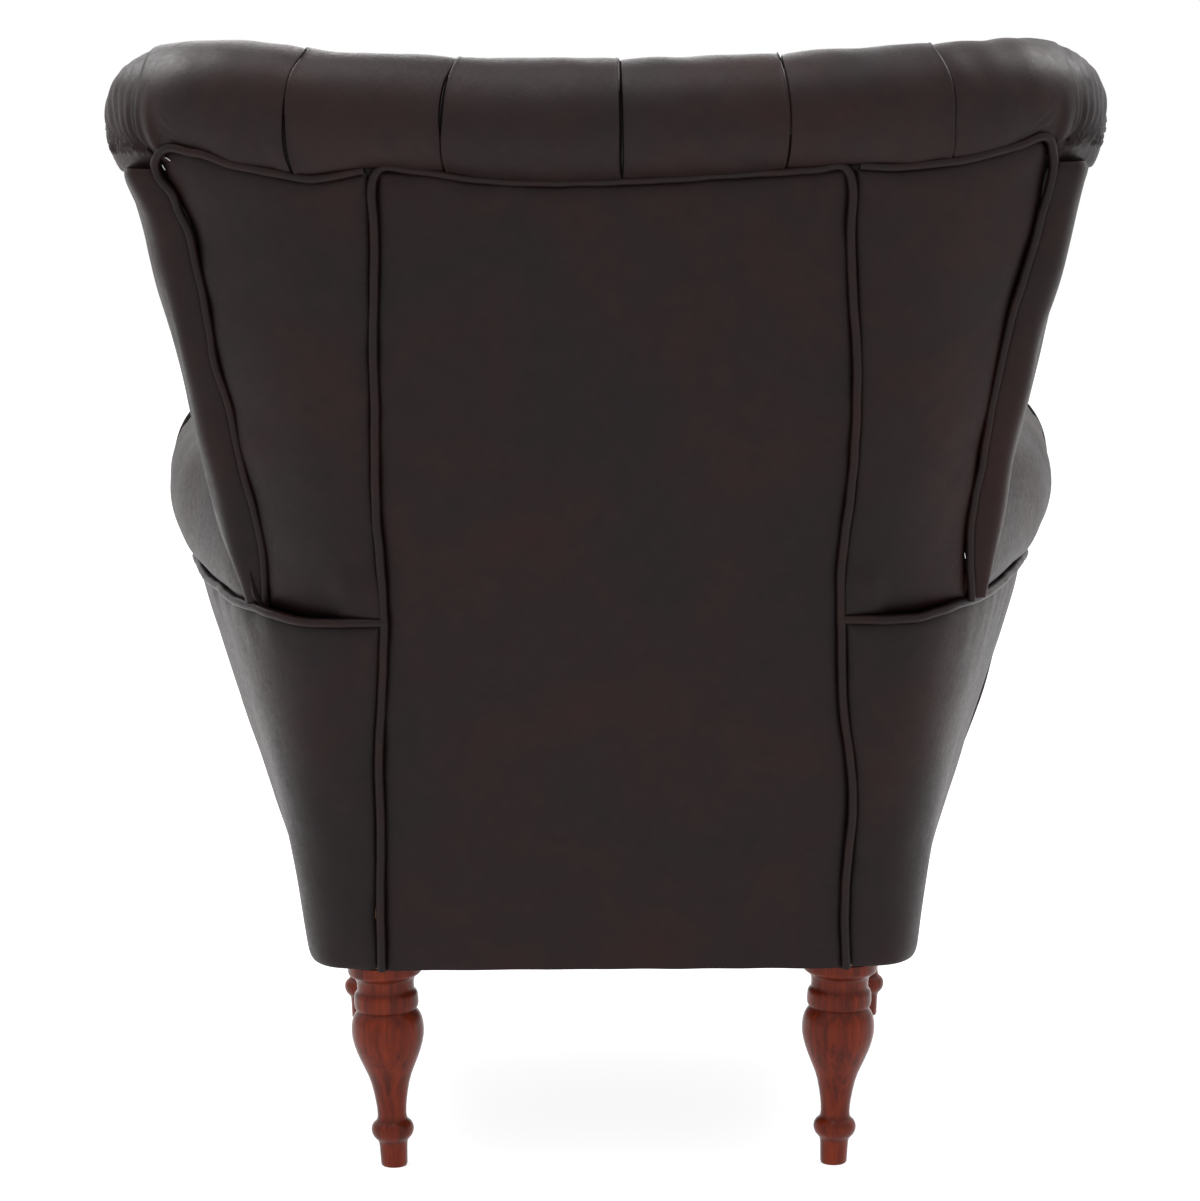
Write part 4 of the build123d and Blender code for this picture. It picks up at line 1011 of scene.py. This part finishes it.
def rollFoot(s, x, rear):
    # where the leather of the roll is tacked down: at the crown welt, and lower along the wing
    line = crownAt(np.clip(x, -0.365, 0.365)) - (0.001 if rear else 0.012)
    share = np.clip((np.abs(s) - 0.350) / 0.012, 0, 1)
    return line + (wing["top"] - line) * share**2 * (3 - 2 * share)


def rollSkin(s, v, look):
    # middle line, direction across, half sizes and turn round the roll, for runs s and shares v round it
    x, y = (np.interp(s, rollRun, rollLine[:, k]) for k in (0, 1))
    aheadX, aheadY = (np.interp(s, rollRun, rollHeading[:, k]) for k in (0, 1))
    z = body["crownMiddle"] + tableAt(look["rises"], s)
    size = np.interp(np.abs(s), *np.array(look["sizes"]).T)
    middle = np.stack([x, backY(body["crownMiddle"]) + 0.034 - look["deep"] + y, z], -1)
    out = np.stack([-aheadY, aheadX, 0 * x], -1)
    deep, high = look["deep"] * size + 0.001, look["high"] * size + 0.001
    start = np.arcsin(np.clip((rollFoot(s, x, True) - z) / high, -0.98, 0.98))
    end = math.pi - np.arcsin(np.clip((rollFoot(s, x, False) - z) / high, -0.98, 0.98))
    return middle, out, deep, high, start, start + (end - start) * v


def pleatRun(index, shares, look):
    # run along the roll at which each row meets a pleat that is known by its place seen from behind
    rows = look["pleats"][index]
    s = np.full(len(shares), rows[-1][1])
    camera = photoView["place"]
    for _ in range(8):
        middle, out, deep, high, start, around = rollSkin(s, shares, look)
        low = np.sin(start)
        climbed = np.where(around > math.pi / 2, 1, (np.sin(around) - low) / (1 - low))
        seen = tableAt(rows, climbed)
        surface = middle + out * (np.cos(around) * deep)[:, None]
        nearer = (camera[1] - surface[:, 1]) / (camera[1] - look["pleatPlane"])
        target = camera[0] + (seen - camera[0]) * nearer
        past = np.clip((around - math.pi / 2) / (math.pi / 2), 0, 1) ** 2
        target += (look["frontPlaces"][index] - target) * past
        s = s - (surface[:, 0] - target)
    return s


def rollStations(look):
    # shares between neighbouring pleats, closer together at each of them
    stations = []
    last = len(look["pleats"]) - 1
    for k in range(-1, last + 1):
        shares = crowded(look["columns"], 2.3)
        if k < 0 or k == last:
            near = 0.035 * np.linspace(0, 1, 13) ** 1.7
            shares = np.concatenate([near, np.linspace(near[-1], 1, look["endColumns"] - 12)[1:]])
            shares = shares if k == last else 1 - shares[::-1]
        stations += [(k + 1, t) for t in (shares if k == last else shares[:-1])]
    return stations


def meetWing(middle, out, sign):
    # where a level line from the middle of the roll meets the wing's plan at its top
    side = np.sign(middle[:, 0])
    plan = wingRow(1, wing["top"], 1600)[:, :2]
    start = np.stack([np.abs(middle[:, 0]), middle[:, 1]], 1)
    way = sign * np.stack([out[:, 0] * side, out[:, 1]], 1)
    apart = plan[None] - start[:, None]
    off = np.abs(apart[..., 0] * way[:, None, 1] - apart[..., 1] * way[:, None, 0])
    off += 9.0 * ((apart * way[:, None]).sum(-1) < 0)
    met = plan[off.argmin(1)]
    return np.stack([met[:, 0] * side, met[:, 1]], 1)


def evened(line, reach=6):
    # a moving average along a line whose ends are kept
    longer = np.pad(line, ((reach, reach), (0, 0)), mode="edge")
    return sum(longer[k:k + len(line)] for k in range(2 * reach + 1)) / (2 * reach + 1)


def rollPiece(look):
    shares, stations = np.linspace(0, 1, look["rows"]), rollStations(look)
    count = len(look["pleats"])
    lines = [np.full(len(shares), rollHalf)] + [pleatRun(k, shares, look) for k in range(count)]
    lines = np.stack(lines + [np.full(len(shares), -rollHalf)], 1)
    bays, parts = np.array([k for k, _ in stations]), np.array([t for _, t in stations])
    s = lines[:, bays] + (lines[:, bays + 1] - lines[:, bays]) * parts
    middles, out, deep, high, _, around = rollSkin(s, shares[:, None], look)
    inset, tuckAndShade = np.full(s.shape, -look["puff"]), np.zeros(s.shape)
    for index, under in enumerate(look["lapSides"]):
        gap = s - lines[:, index + 1][:, None]
        beside = gap * under
        inset += look["pleatDepth"] * np.exp(-((gap / look["pleatWidth"]) ** 2))
        inset += look["slump"] * np.exp(-np.abs(gap) / look["slumpReach"])
        inset += np.where(beside > 0, look["lap"] * np.exp(-np.abs(beside) / look["lapReach"]),
                          -look["lipRise"] * np.exp(-(((beside + look["lipAt"]) / look["lipWidth"]) ** 2)))
        # painted shade along each pleat
        tuckAndShade = np.maximum(tuckAndShade, 0.85 * np.exp(-((gap / look["pleatWidth"]) ** 2)))
    pull = np.exp(-np.minimum(shares, 1 - shares) * 0.30 / look["footReach"])[:, None]
    inset += look["footDepth"] * pull
    # painted shade at the roll's sewn feet
    tuckAndShade = np.maximum(tuckAndShade, 0.7 * pull)
    points = middles + out * (np.cos(around) * (deep - inset))[..., None]
    points[..., 2] += np.sin(around) * (high - inset)
    # both feet of the roll reach what they are sewn to: the crown seam, and the wing's two faces
    edge = points[0, :, :2].copy()
    below = np.clip((crownAt(edge[:, 0]) - 0.003 - points[0, :, 2]) / 0.005, 0, 1)
    onCrown = np.stack([edge[:, 0], sweptY(edge[:, 0], points[0, :, 2]) - 0.0015 - 0.009 * below], 1)
    onWing = meetWing(middles[0], out[0], 1)
    beyond = np.clip((np.abs(edge[:, 0]) - 0.366) / 0.008, 0, 1)[:, None]
    shift = evened(onCrown * (1 - beyond) + onWing * beyond - edge)
    length = 0.12 + 4.0 * np.linalg.norm(shift, axis=1)
    fade = np.clip(1 - shares[:, None] / length[None, :], 0, 1) ** 2
    points[..., :2] += fade[..., None] * shift[None]
    edge = points[-1, :, :2].copy()
    shift = meetWing(middles[-1], out[-1], -1) - edge
    shift = evened(shift * np.clip((np.abs(s[-1]) - 0.265) / 0.03, 0, 1)[:, None])
    length = 0.12 + 4.0 * np.linalg.norm(shift, axis=1)
    fade = np.clip(1 - (1 - shares)[:, None] / length[None, :], 0, 1) ** 2
    points[..., :2] += fade[..., None] * shift[None]
    normal = outward(points, points - middles)
    # at each corner the leather folds over itself, and gathers fan out from the end of the welt
    aside = np.abs(points[..., 0]) - look["cornerAcross"]
    above = np.maximum(points[..., 2] - look["cornerHeight"], look["least"])
    fan = np.maximum(aside, look["least"]) / (1 - np.exp(-above / 0.010))
    fan = fan + np.maximum(above - 0.05, 0) * 0.25
    behind = np.clip((0.50 - shares) / 0.10, 0, 1)[:, None] * (aside > 0.0005) * np.clip(above / 0.003, 0, 1)
    past = fan - look["foldOut"]
    step = look["foldStep"] * 0.5 * (1 + np.tanh(past / look["foldBlend"]))
    step = step * np.exp(-np.maximum(past, 0) / look["foldReach"]) * behind
    crease = look["foldCrease"] * np.exp(-((past / 0.0018) ** 2)) * behind
    ridges = np.where(past > 0, np.sin(past / look["gatherStep"] * 2 * math.pi), 0)
    ridges = ridges * np.exp(-above / look["gatherReach"]) * behind
    along = look["cornerAcross"] - np.abs(points[..., 0])
    overWelt = np.maximum(points[..., 2] - crownAt(points[..., 0]), 0)
    drape = np.sin(overWelt * np.exp(np.clip(along, 0, 0.07) / 0.024) / look["drapeStep"] * 2 * math.pi)
    drape = drape * np.clip(along / 0.006, 0, 1) * np.exp(-along.clip(0) / look["drapeAcross"])
    drape = drape * np.exp(-overWelt / look["drapeHigh"])
    drape = drape * np.clip((0.40 - shares) / 0.10, 0, 1)[:, None]
    rise = -step - crease + look["gather"] * ridges + look["drape"] * drape
    for seed, (height, length) in zip((112, 113), look["slack"]):
        rise = rise + height * waves(points, length, seed)
    # painted shade in the corner fold, the gather valleys and the drape
    tuckAndShade = np.maximum(tuckAndShade, 0.9 * np.exp(-((past / 0.0016) ** 2)) * behind)
    tuckAndShade = np.maximum(tuckAndShade, 0.35 * np.clip(-ridges, 0, 1) + 0.25 * np.clip(-drape, 0, 1))
    points = points + normal * rise[..., None]
    # the ends close in low domes
    caps = []
    rings = look["domeRings"]
    for end, order in ((0, range(rings, 0, -1)), (-1, range(1, rings + 1))):
        ring = points[:, end]
        heart = ring.mean(axis=0)
        heart[2] = wing["top"] - 0.001
        for k in order:
            angle = k / rings * math.pi / 2
            bulge = np.array([0, -look["domeOut"] * math.sin(angle), 0])
            caps.append(heart + (ring - heart) * max(math.cos(angle), 0.02) + bulge)
    first, last = (np.array(cap).transpose(1, 0, 2) for cap in (caps[:rings], caps[rings:]))
    points = np.concatenate([first, points, last], axis=1)
    tuckAndShade = np.pad(tuckAndShade, ((0, 0), (rings, rings)))
    piece = leatherSheet("topRoll", points, tuckAndShade, (0, 0.32, 0.93), look["skin"], 60)
    finishPiece(piece, espressoRollLit, ["top_roll"])


rollPiece(roll)
print("top roll made")

# Inside back: deep buttoned diamonds
insideBack = {
    "pitch": 0.138, "rise": 0.084, "topDrop": 0.058, "rows": 4, "buttonRadius": 0.011, "buttonProud": 0.004,
    "pit": 0.021, "pitWidth": 0.020, "fold": 0.0085, "foldWidth": 0.0042, "puff": 0.010,
    "puffReach": 0.022, "tuftFoot": 0.47, "tuftBlend": 0.06, "foldTop": 0.93, "buttonRoom": 0.034,
    "topRound": 0.038, "topDeep": 0.050, "sideDeep": 0.010, "sideReach": 0.012,
    "shade": 0.8, "shadeWidth": 0.0025, "slack": 0.0012, "slackLength": 0.09,
    "columns": 190, "lines": 210, "bottom": 0.345, "joinReach": 0.012, "skin": 0.003,
}


def buttonPlaces():
    places = []
    for row in range(insideBack["rows"]):
        z = body["crownMiddle"] - insideBack["topDrop"] - row * insideBack["rise"]
        offset = insideBack["pitch"] / 2 if row % 2 else 0
        for step in range(-2, 3):
            x = step * insideBack["pitch"] + offset
            if abs(x) < np.interp(z, *np.array(wing["joinHalf"]).T) - insideBack["buttonRoom"]:
                places.append((x, z))
    return places


def innerFront(x, z):
    join = np.interp(z, *np.array(wing["joinHalf"]).T)
    return backY(z) - stuffedDepth(z) - wing["stuffingCurve"] * (np.abs(x) / join) ** 2


def foldLines(places):
    # pleats run between neighbouring buttons, up to the roll and down to the seat
    pitch, rise = insideBack["pitch"], insideBack["rise"]
    lines = []
    for x0, z0 in places:
        for x1, z1 in places:
            if z1 < z0 and abs(z0 - z1 - rise) < 0.01 and abs(x0 - x1) < pitch * 0.6:
                lines.append(((x0, z0), (x1, z1)))
    top, low = max(z for _, z in places), min(z for _, z in places)
    lines += [((x, z), (x, insideBack["foldTop"])) for x, z in places if z == top]
    lines += [((x, z), (x, insideBack["tuftFoot"])) for x, z in places if z == low]
    for side, _ in sides:
        start = side * 1.5 * pitch
        lines.append(((side * 2 * pitch, 0.83), (side * 2 * pitch, insideBack["foldTop"])))
        lines += [((start, z), (side * 2 * pitch, z + rise)) for z in (top - rise, top - 3 * rise)]
        lines.append(((start, top - rise), (side * 1.9 * pitch, top - rise - rise * 0.8)))
    return lines


def insideBackPiece(look):
    places = buttonPlaces()
    u, v = np.linspace(-1, 1, look["columns"]), np.linspace(0, 1, look["lines"])
    top = body["crownMiddle"] + 0.002
    points = np.zeros((len(v), len(u), 3))
    shade = np.zeros((len(v), len(u)))
    lines = foldLines(places)
    for i, share in enumerate(v):
        z = look["bottom"] + share * (top - look["bottom"])
        join = float(np.interp(z, *np.array(wing["joinHalf"]).T)) + look["joinReach"]
        x = u * join
        y = innerFront(x, np.full(len(x), z))
        nearFold, nearPit = np.full(len(x), 1.0), np.full(len(x), 1.0)
        for (ax, az), (bx, bz) in lines:
            dx, dz = bx - ax, bz - az
            t = np.clip(((x - ax) * dx + (z - az) * dz) / (dx * dx + dz * dz), 0, 1)
            nearFold = np.minimum(nearFold, np.hypot(x - ax - t * dx, z - az - t * dz))
        for px, pz in places:
            nearPit = np.minimum(nearPit, np.hypot(x - px, z - pz))
        tufted = np.clip((z - look["tuftFoot"]) / look["tuftBlend"], 0, 1)
        hollow = look["pit"] * np.exp(-((nearPit / look["pitWidth"]) ** 2))
        puff = look["puff"] * np.exp(-nearFold / look["puffReach"])
        fold = look["fold"] * np.exp(-nearFold / look["foldWidth"]) + puff
        fold *= 0.35 + 0.65 * np.exp(-nearPit / 0.05)
        inset = np.maximum(hollow, fold) * tufted - look["puff"] * 0.5 * tufted
        # the top rolls back under the top roll
        over = np.clip((z - (top - look["topRound"])) / look["topRound"], 0, 1)
        inset = inset + look["topDeep"] * (1 - np.sqrt(np.clip(1 - over**2, 0, 1)))
        edge = (1 - np.abs(u)) * join
        inset = inset + look["sideDeep"] * np.exp(-edge / look["sideReach"])
        points[i] = np.stack([x, y + inset, np.full(len(x), z)], 1)
        # painted shade along the folds between the buttons
        shade[i] = np.exp(-nearFold / look["shadeWidth"]) * tufted * look["shade"]
    points[..., 1] += look["slack"] * waves(points, look["slackLength"], 121)
    piece = leatherSheet("insideBack", points, shade, (0, 0.5, 0.6), look["skin"], 60)
    finishPiece(piece, espresso, ["inside_back"])
    buttons = []
    for x, z in places:
        floorY = float(innerFront(np.array([x]), np.array([z]))[0]) + look["pit"] - look["puff"] * 0.5
        buttons.append((x, floorY - look["buttonProud"], z))
    return buttons


def coveredButton(radius):
    # a leather-covered button: a low dome drawn in over its rim
    deselect()
    bpy.ops.mesh.primitive_uv_sphere_add(segments=28, ring_count=14, radius=radius)
    button = bpy.context.object
    button.data.transform(Matrix.Rotation(math.radians(90), 4, "X"))
    co, _ = meshArrays(button)
    co[:, 1] *= 0.48
    setPoints(button, co)
    button.data.attributes.new("tuckAndShade", "FLOAT", "POINT")
    return button


buttonHomes = insideBackPiece(insideBack)
buttons = [coveredButton(insideBack["buttonRadius"])]
buttons += [ownCopy(buttons[0], "button") for _ in buttonHomes[1:]]
for button, home in zip(buttons, buttonHomes):
    button.data.transform(Matrix.Translation(home))
backButtons = joined(buttons, "backButtons")
smooth(backButtons, 60)
finishPiece(backButtons, espressoTrim, ["tuft_buttons"])
print("inside back made")

# Turned legs
leg = {
    # half width in millimetres by height, foot to collar
    "profile": [(11.2, -4), (11.5, 0.6), (12.0, 1.6), (12.2, 8), (12.5, 16), (12.9, 21), (13.8, 23.6),
                (15.6, 25.6), (17.6, 28), (18.8, 31), (19.2, 34), (18.7, 37), (17.2, 39.6), (15.2, 41.4),
                (13.9, 42.8), (13.3, 44.8), (13.0, 48), (13.3, 54), (14.0, 60), (15.3, 68), (17.2, 77),
                (19.7, 85), (22.7, 92), (25.9, 99.5), (28.8, 107), (31.0, 114.5), (32.3, 121), (32.6, 127),
                (32.2, 133), (31.0, 138), (29.2, 141.6), (27.5, 143.8), (26.8, 145.2), (27.6, 146.4),
                (28.6, 148.2), (29.0, 151), (28.9, 156), (28.6, 159.2), (27.7, 161.4), (26.3, 162.8),
                (25.7, 165), (25.6, 170), (26.4, 173.6), (28.4, 176.2), (30.8, 177.8), (32.6, 179.2),
                (33.4, 181.6), (33.5, 189)],
    # rings darkened with painted shade where the turning steps in, as (height, width) in millimetres
    "shadeRings": [(24.0, 1.6), (43.2, 1.8), (145.2, 1.8), (163.4, 2.0), (175.6, 2.2)], "ringShade": 0.75,
    "turns": 72, "lean": 1.8,
    # where each leg stands, and the side to which it leans
    "places": [("front_left", (0.265, -0.3189), 0), ("front_right", (-0.265, -0.3189), 0),
               ("rear_left", (0.205, 0.1861), 1), ("rear_right", (-0.205, 0.1861), -1)],
}


def turnedLeg(look):
    # one point extruded along the profile, then spun
    deselect()
    bpy.ops.mesh.primitive_plane_add(size=0.001)
    piece = bpy.context.object
    bpy.ops.object.mode_set(mode="EDIT")
    bpy.ops.mesh.select_all(action="SELECT")
    bpy.ops.mesh.merge(type="CENTER")
    profile = [(0.0, look["profile"][0][1])] + look["profile"] + [(0.0, look["profile"][-1][1])]
    line = np.array(profile) / 1000
    bpy.ops.transform.translate(value=(line[0][0], 0, line[0][1]))
    for here, there in zip(line[:-1], line[1:]):
        step = there - here
        bpy.ops.mesh.extrude_region_move(TRANSFORM_OT_translate={"value": (step[0], 0, step[1])})
    bpy.ops.mesh.select_all(action="SELECT")
    bpy.ops.mesh.spin(steps=look["turns"], angle=2 * math.pi, center=(0, 0, 0), axis=(0, 0, 1))
    bpy.ops.mesh.select_all(action="SELECT")
    bpy.ops.mesh.remove_doubles(threshold=0.00001)
    bpy.ops.mesh.normals_make_consistent(inside=False)
    bpy.ops.object.mode_set(mode="OBJECT")
    co, _ = meshArrays(piece)
    height = co[:, 2] * 1000
    # painted shade in the rings of the turning
    shade = np.zeros(len(co))
    for place, width in look["shadeRings"]:
        shade = np.maximum(shade, look["ringShade"] * np.exp(-((height - place) / width) ** 2))
    paintTuckShade(piece, shade)
    return piece


modelLeg = turnedLeg(leg)
for tag, place, lean in leg["places"]:
    words = tag.split("_")
    copy = ownCopy(modelLeg, "leg" + words[0].title() + words[1].title())
    top = Matrix.Translation((0, 0, body["legTop"]))
    tilt = top @ Matrix.Rotation(math.radians(leg["lean"] * lean), 4, "Y") @ top.inverted()
    copy.data.transform(Matrix.Translation((place[0], place[1], 0)) @ tilt)
    footed, _ = meshArrays(copy)
    footed[:, 2] = np.maximum(footed[:, 2], 0)
    setPoints(copy, footed)
    smooth(copy, 35)
    finishPiece(copy, varnished, ["leg_" + tag])
bpy.data.objects.remove(modelLeg)
print("legs turned")

# Loose seat cushion
cushion = {
    "foot": 0.3334, "thick": 0.128, "voxel": 0.0062, "pressure": 4.0, "frames": 20,
    "cap": 0.010, "shrink": 0.006,  # furthest that the cloth may move, and how far it starts inside
    "give": 0.0010, "foamInset": 0.006,
    "slack": 0.0018, "slackLength": 0.15, "hollow": 0.0015, "crease": 0.0007, "creaseLength": 0.04,
    "pucker": 0.0009, "puckerLength": 0.028, "puckerReach": 0.012,
    "weltRadius": 0.0040, "weltSteps": 240, "weltHeart": -0.13, "weltDrop": 0.014, "weltRise": 0.013,
}


def largestShell(piece):
    # the solid is hollow, so its inner skin is taken off before it is filled
    onlyActive(piece)
    bpy.ops.object.mode_set(mode="EDIT")
    bpy.ops.mesh.select_all(action="SELECT")
    bpy.ops.mesh.separate(type="LOOSE")
    bpy.ops.object.mode_set(mode="OBJECT")
    parts = list(bpy.context.selected_objects)
    parts.sort(key=lambda o: o.dimensions.length, reverse=True)
    for other in parts[1:]:
        bpy.data.objects.remove(other)
    return parts[0]


def cushionPiece(look):
    piece = largestShell(mergedCopy("cushion_cover", "cushionShell"))
    piece.name = piece.data.name = "seatCushion"
    modify(piece, "REMESH", mode="VOXEL", voxel_size=look["voxel"])
    start, normal = meshArrays(piece)
    setPoints(piece, start - normal * look["shrink"])
    rest, _ = meshArrays(piece)
    onlyActive(piece)
    cloth = piece.modifiers.new("Cloth", "CLOTH")
    cloth.settings.use_pressure = True
    cloth.settings.uniform_pressure_force = look["pressure"]
    cloth.settings.effector_weights.gravity = 0
    cloth.settings.quality = 5
    scene = bpy.context.scene
    for step in range(1, look["frames"] + 1):
        scene.frame_set(step)
    graph = bpy.context.evaluated_depsgraph_get()
    swollen = piece.evaluated_get(graph).data
    moved = np.zeros(len(swollen.vertices) * 3, np.float32)
    swollen.vertices.foreach_get("co", moved)
    moved = moved.reshape(-1, 3).astype(float)
    piece.modifiers.remove(cloth)
    scene.frame_set(1)
    shift = moved - rest
    length = np.linalg.norm(shift, axis=1)
    shift *= (np.minimum(length, look["cap"]) / np.maximum(length, 1e-9))[:, None]
    swollenPoints = rest + shift
    # the cover never lies deeper than the foam lets it
    depth = ((swollenPoints - start) * normal).sum(1)
    swollenPoints += normal * np.maximum(-look["give"] - depth, 0)[:, None]
    setPoints(piece, swollenPoints)
    modify(piece, "SMOOTH", factor=0.5, iterations=2)
    co, normal = meshArrays(piece)
    low = look["foot"] - 0.0003
    co[:, 2] = np.maximum(co[:, 2], low)
    # folds that lie across the seat where people sit, and small puckers along the sewn edges
    onTop = np.clip(normal[:, 2], 0, 1)
    middle = np.exp(-((co[:, 0] / 0.16) ** 2 + ((co[:, 1] + 0.12) / 0.17) ** 2))
    creases = look["crease"] * waves(co * (0.5, 1.2, 1), look["creaseLength"], 132)
    slack = look["slack"] * waves(co, look["slackLength"], 131)
    co[:, 2] += onTop * (slack - look["hollow"] * middle + creases)
    upright = 1 - np.abs(normal[:, 2])
    fromMiddle = np.abs(co[:, 2] - (look["foot"] + look["thick"] / 2))
    edge = np.exp(-np.abs(fromMiddle - look["thick"] / 2 + look["puckerReach"]) / look["puckerReach"])
    co += normal * (look["pucker"] * upright * edge * waves(co, look["puckerLength"], 133))[:, None]
    setPoints(piece, co)
    modify(piece, "SUBSURF", levels=1, render_levels=1)
    smooth(piece)
    finishPiece(piece, espresso, ["cushion_cover"], "seat_cushion")
    return piece


def cushionWelts(piece, look):
    # a welt sewn round the top and the bottom edge of the boxing
    bpy.context.evaluated_depsgraph_get()  # ray_cast needs the new mesh evaluated
    top, foot = look["foot"] + look["thick"] - look["weltDrop"], look["foot"] + look["weltRise"]
    for label, z in (("Top", top), ("Foot", foot)):
        loop = []
        for k in range(look["weltSteps"]):
            angle = 2 * math.pi * k / look["weltSteps"]
            way = Vector((math.cos(angle), math.sin(angle), 0))
            start = Vector((0, look["weltHeart"], z)) + way * 0.9
            hit, where, _, _ = piece.ray_cast(start, -way)
            if hit:
                loop.append(list(where + way * 0.0005))
        loop = np.array(loop)
        kernel = np.array([1, 2, 3, 2, 1]) / 9
        wrapped = np.vstack([loop[-4:], loop, loop[:4]])
        smoothed = np.stack([np.convolve(wrapped[:, k], kernel, "same") for k in range(3)], 1)[4:-4]
        smoothed = np.vstack([smoothed, smoothed[:1]])
        tube = tubeAlong("weltCushion" + label, smoothed, look["weltRadius"])
        finishPiece(tube, espressoTrim, (), "seat_cushion")


seatCushion = cushionPiece(cushion)
cushionWelts(seatCushion, cushion)
cushionFoam = softCopy("cushionFoam", "cushion_core", 0.008, 4, 135, 0.0006, 0.1)
foamPoints, foamNormals = meshArrays(cushionFoam)
setPoints(cushionFoam, foamPoints - foamNormals * cushion["foamInset"])
smooth(cushionFoam, 40)
finishPiece(cushionFoam, foam, ["cushion_core"], "seat_cushion")
print("cushion made")


# Cloths under the seat
cloths = {
    "columns": 60, "rows": 60, "edgeRoom": 0.001, "thick": 0.001, "slack": 0.0006, "slackLength": 0.12,
    "dustSag": 0.004, "deckSag": 0.0,
}


def flatSheet(name, node, finish, sag, seed):
    columns, rows, edgeRoom = cloths["columns"], cloths["rows"], cloths["edgeRoom"]
    low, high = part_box(node)
    z = (low.z + high.z) / 2
    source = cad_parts[node]
    depths = np.linspace(low.y + edgeRoom, high.y - edgeRoom, rows)
    points = np.zeros((rows, columns, 3))
    for i, y in enumerate(depths):
        start = Vector((1.0, y, z))
        hit, where, _, _ = source.ray_cast(start, Vector((-1, 0, 0)))
        half = abs(where.x) - edgeRoom if hit else high.x
        points[i] = np.stack([np.linspace(-half, half, columns), np.full(columns, y), np.full(columns, z)], 1)
    inX = 1 - np.abs(np.linspace(-1, 1, columns))[None, :] ** 4
    inY = 1 - np.abs(np.linspace(-1, 1, rows))[:, None] ** 4
    points[..., 2] += -sag * inX * inY + cloths["slack"] * waves(points, cloths["slackLength"], seed)
    piece = gridPiece(name, points)
    modify(piece, "SOLIDIFY", thickness=cloths["thick"], offset=0)
    smooth(piece, 40)
    finishPiece(piece, finish, [node])


flatSheet("dustCover", "dust_cover", cambric, cloths["dustSag"], 141)
flatSheet("deckCloth", "deck_cloth", hessian, cloths["deckSag"], 142)
print("cloths made")


# Jute webbing under the deck and across the back
webbing = {
    "cuts": 9, "drift": (0.0003, 0.0003, 0.0007), "driftLength": 0.09,
    "ripple": (0, 0, 0.0002), "rippleLength": 0.02,
}


def webbingPiece(name, node, seed):
    # a copy of the straps, divided finely so that the bands lie slightly uneven under tension
    piece = mergedCopy(node, name, webbing["cuts"])
    co, _ = meshArrays(piece)
    drift = waves(co, webbing["driftLength"], seed)[:, None] * webbing["drift"]
    ripple = waves(co, webbing["rippleLength"], seed + 1)[:, None] * webbing["ripple"]
    setPoints(piece, co + (drift + ripple))
    smooth(piece, 40)
    finishPiece(piece, juteWebbing, [node])


webbingPiece("seatWebbingLong", "seat_straps_long", 151)
webbingPiece("seatWebbingCross", "seat_straps_cross", 152)
webbingPiece("backWebbing", "back_straps", 153)
print("webbing made")

# Staples that show at the ends of the welts
staple = {
    # place seen from behind and turn in degrees
    "places": [(0.3640, 0.9075, 35), (0.3685, 0.9005, 60), (0.1985, 0.8965, 80), (-0.1985, 0.8965, 20),
               (-0.3080, 0.561, 80), (-0.1975, 0.507, 75)],
    "length": 0.0042, "radius": 0.0005, "lift": 0.0012, "legs": 0.003,
}


def staplePieces(look):
    parts = []
    for index, (x, z, degrees) in enumerate(look["places"]):
        turn = math.radians(degrees)
        way = np.array([math.cos(turn), 0, math.sin(turn)])
        middle = np.array([x, float(sweptY(np.array([x]), np.array([z]))[0]) + look["lift"], z])
        first, last = middle - way * look["length"] / 2, middle + way * look["length"] / 2
        ends = [first - (0, look["legs"], 0), first, last, last - (0, look["legs"], 0)]
        parts.append(tubeAlong("staple" + str(index), np.array(ends), look["radius"], 8))
    finishPiece(joined(parts, "seamStaples"), steel)


staplePieces(staple)

# Finishes for the frame that stays as it is
woodNodes = (
    "arm_board", "arm_rail", "back_post", "back_top_rail", "corner_blocks", "corner_stile", "front_seat_rail",
    "lumbar_rail", "rear_seat_rail", "seam_rail", "side_seat_rail", "wing_post", "wing_top_rail")
for name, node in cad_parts.items():
    if not node.hide_render and name.startswith(woodNodes + ("leg_bolts",)):
        node.data.materials.clear()
        node.data.materials.append(steel if name == "leg_bolts" else rawBeech)
print("frame finished")
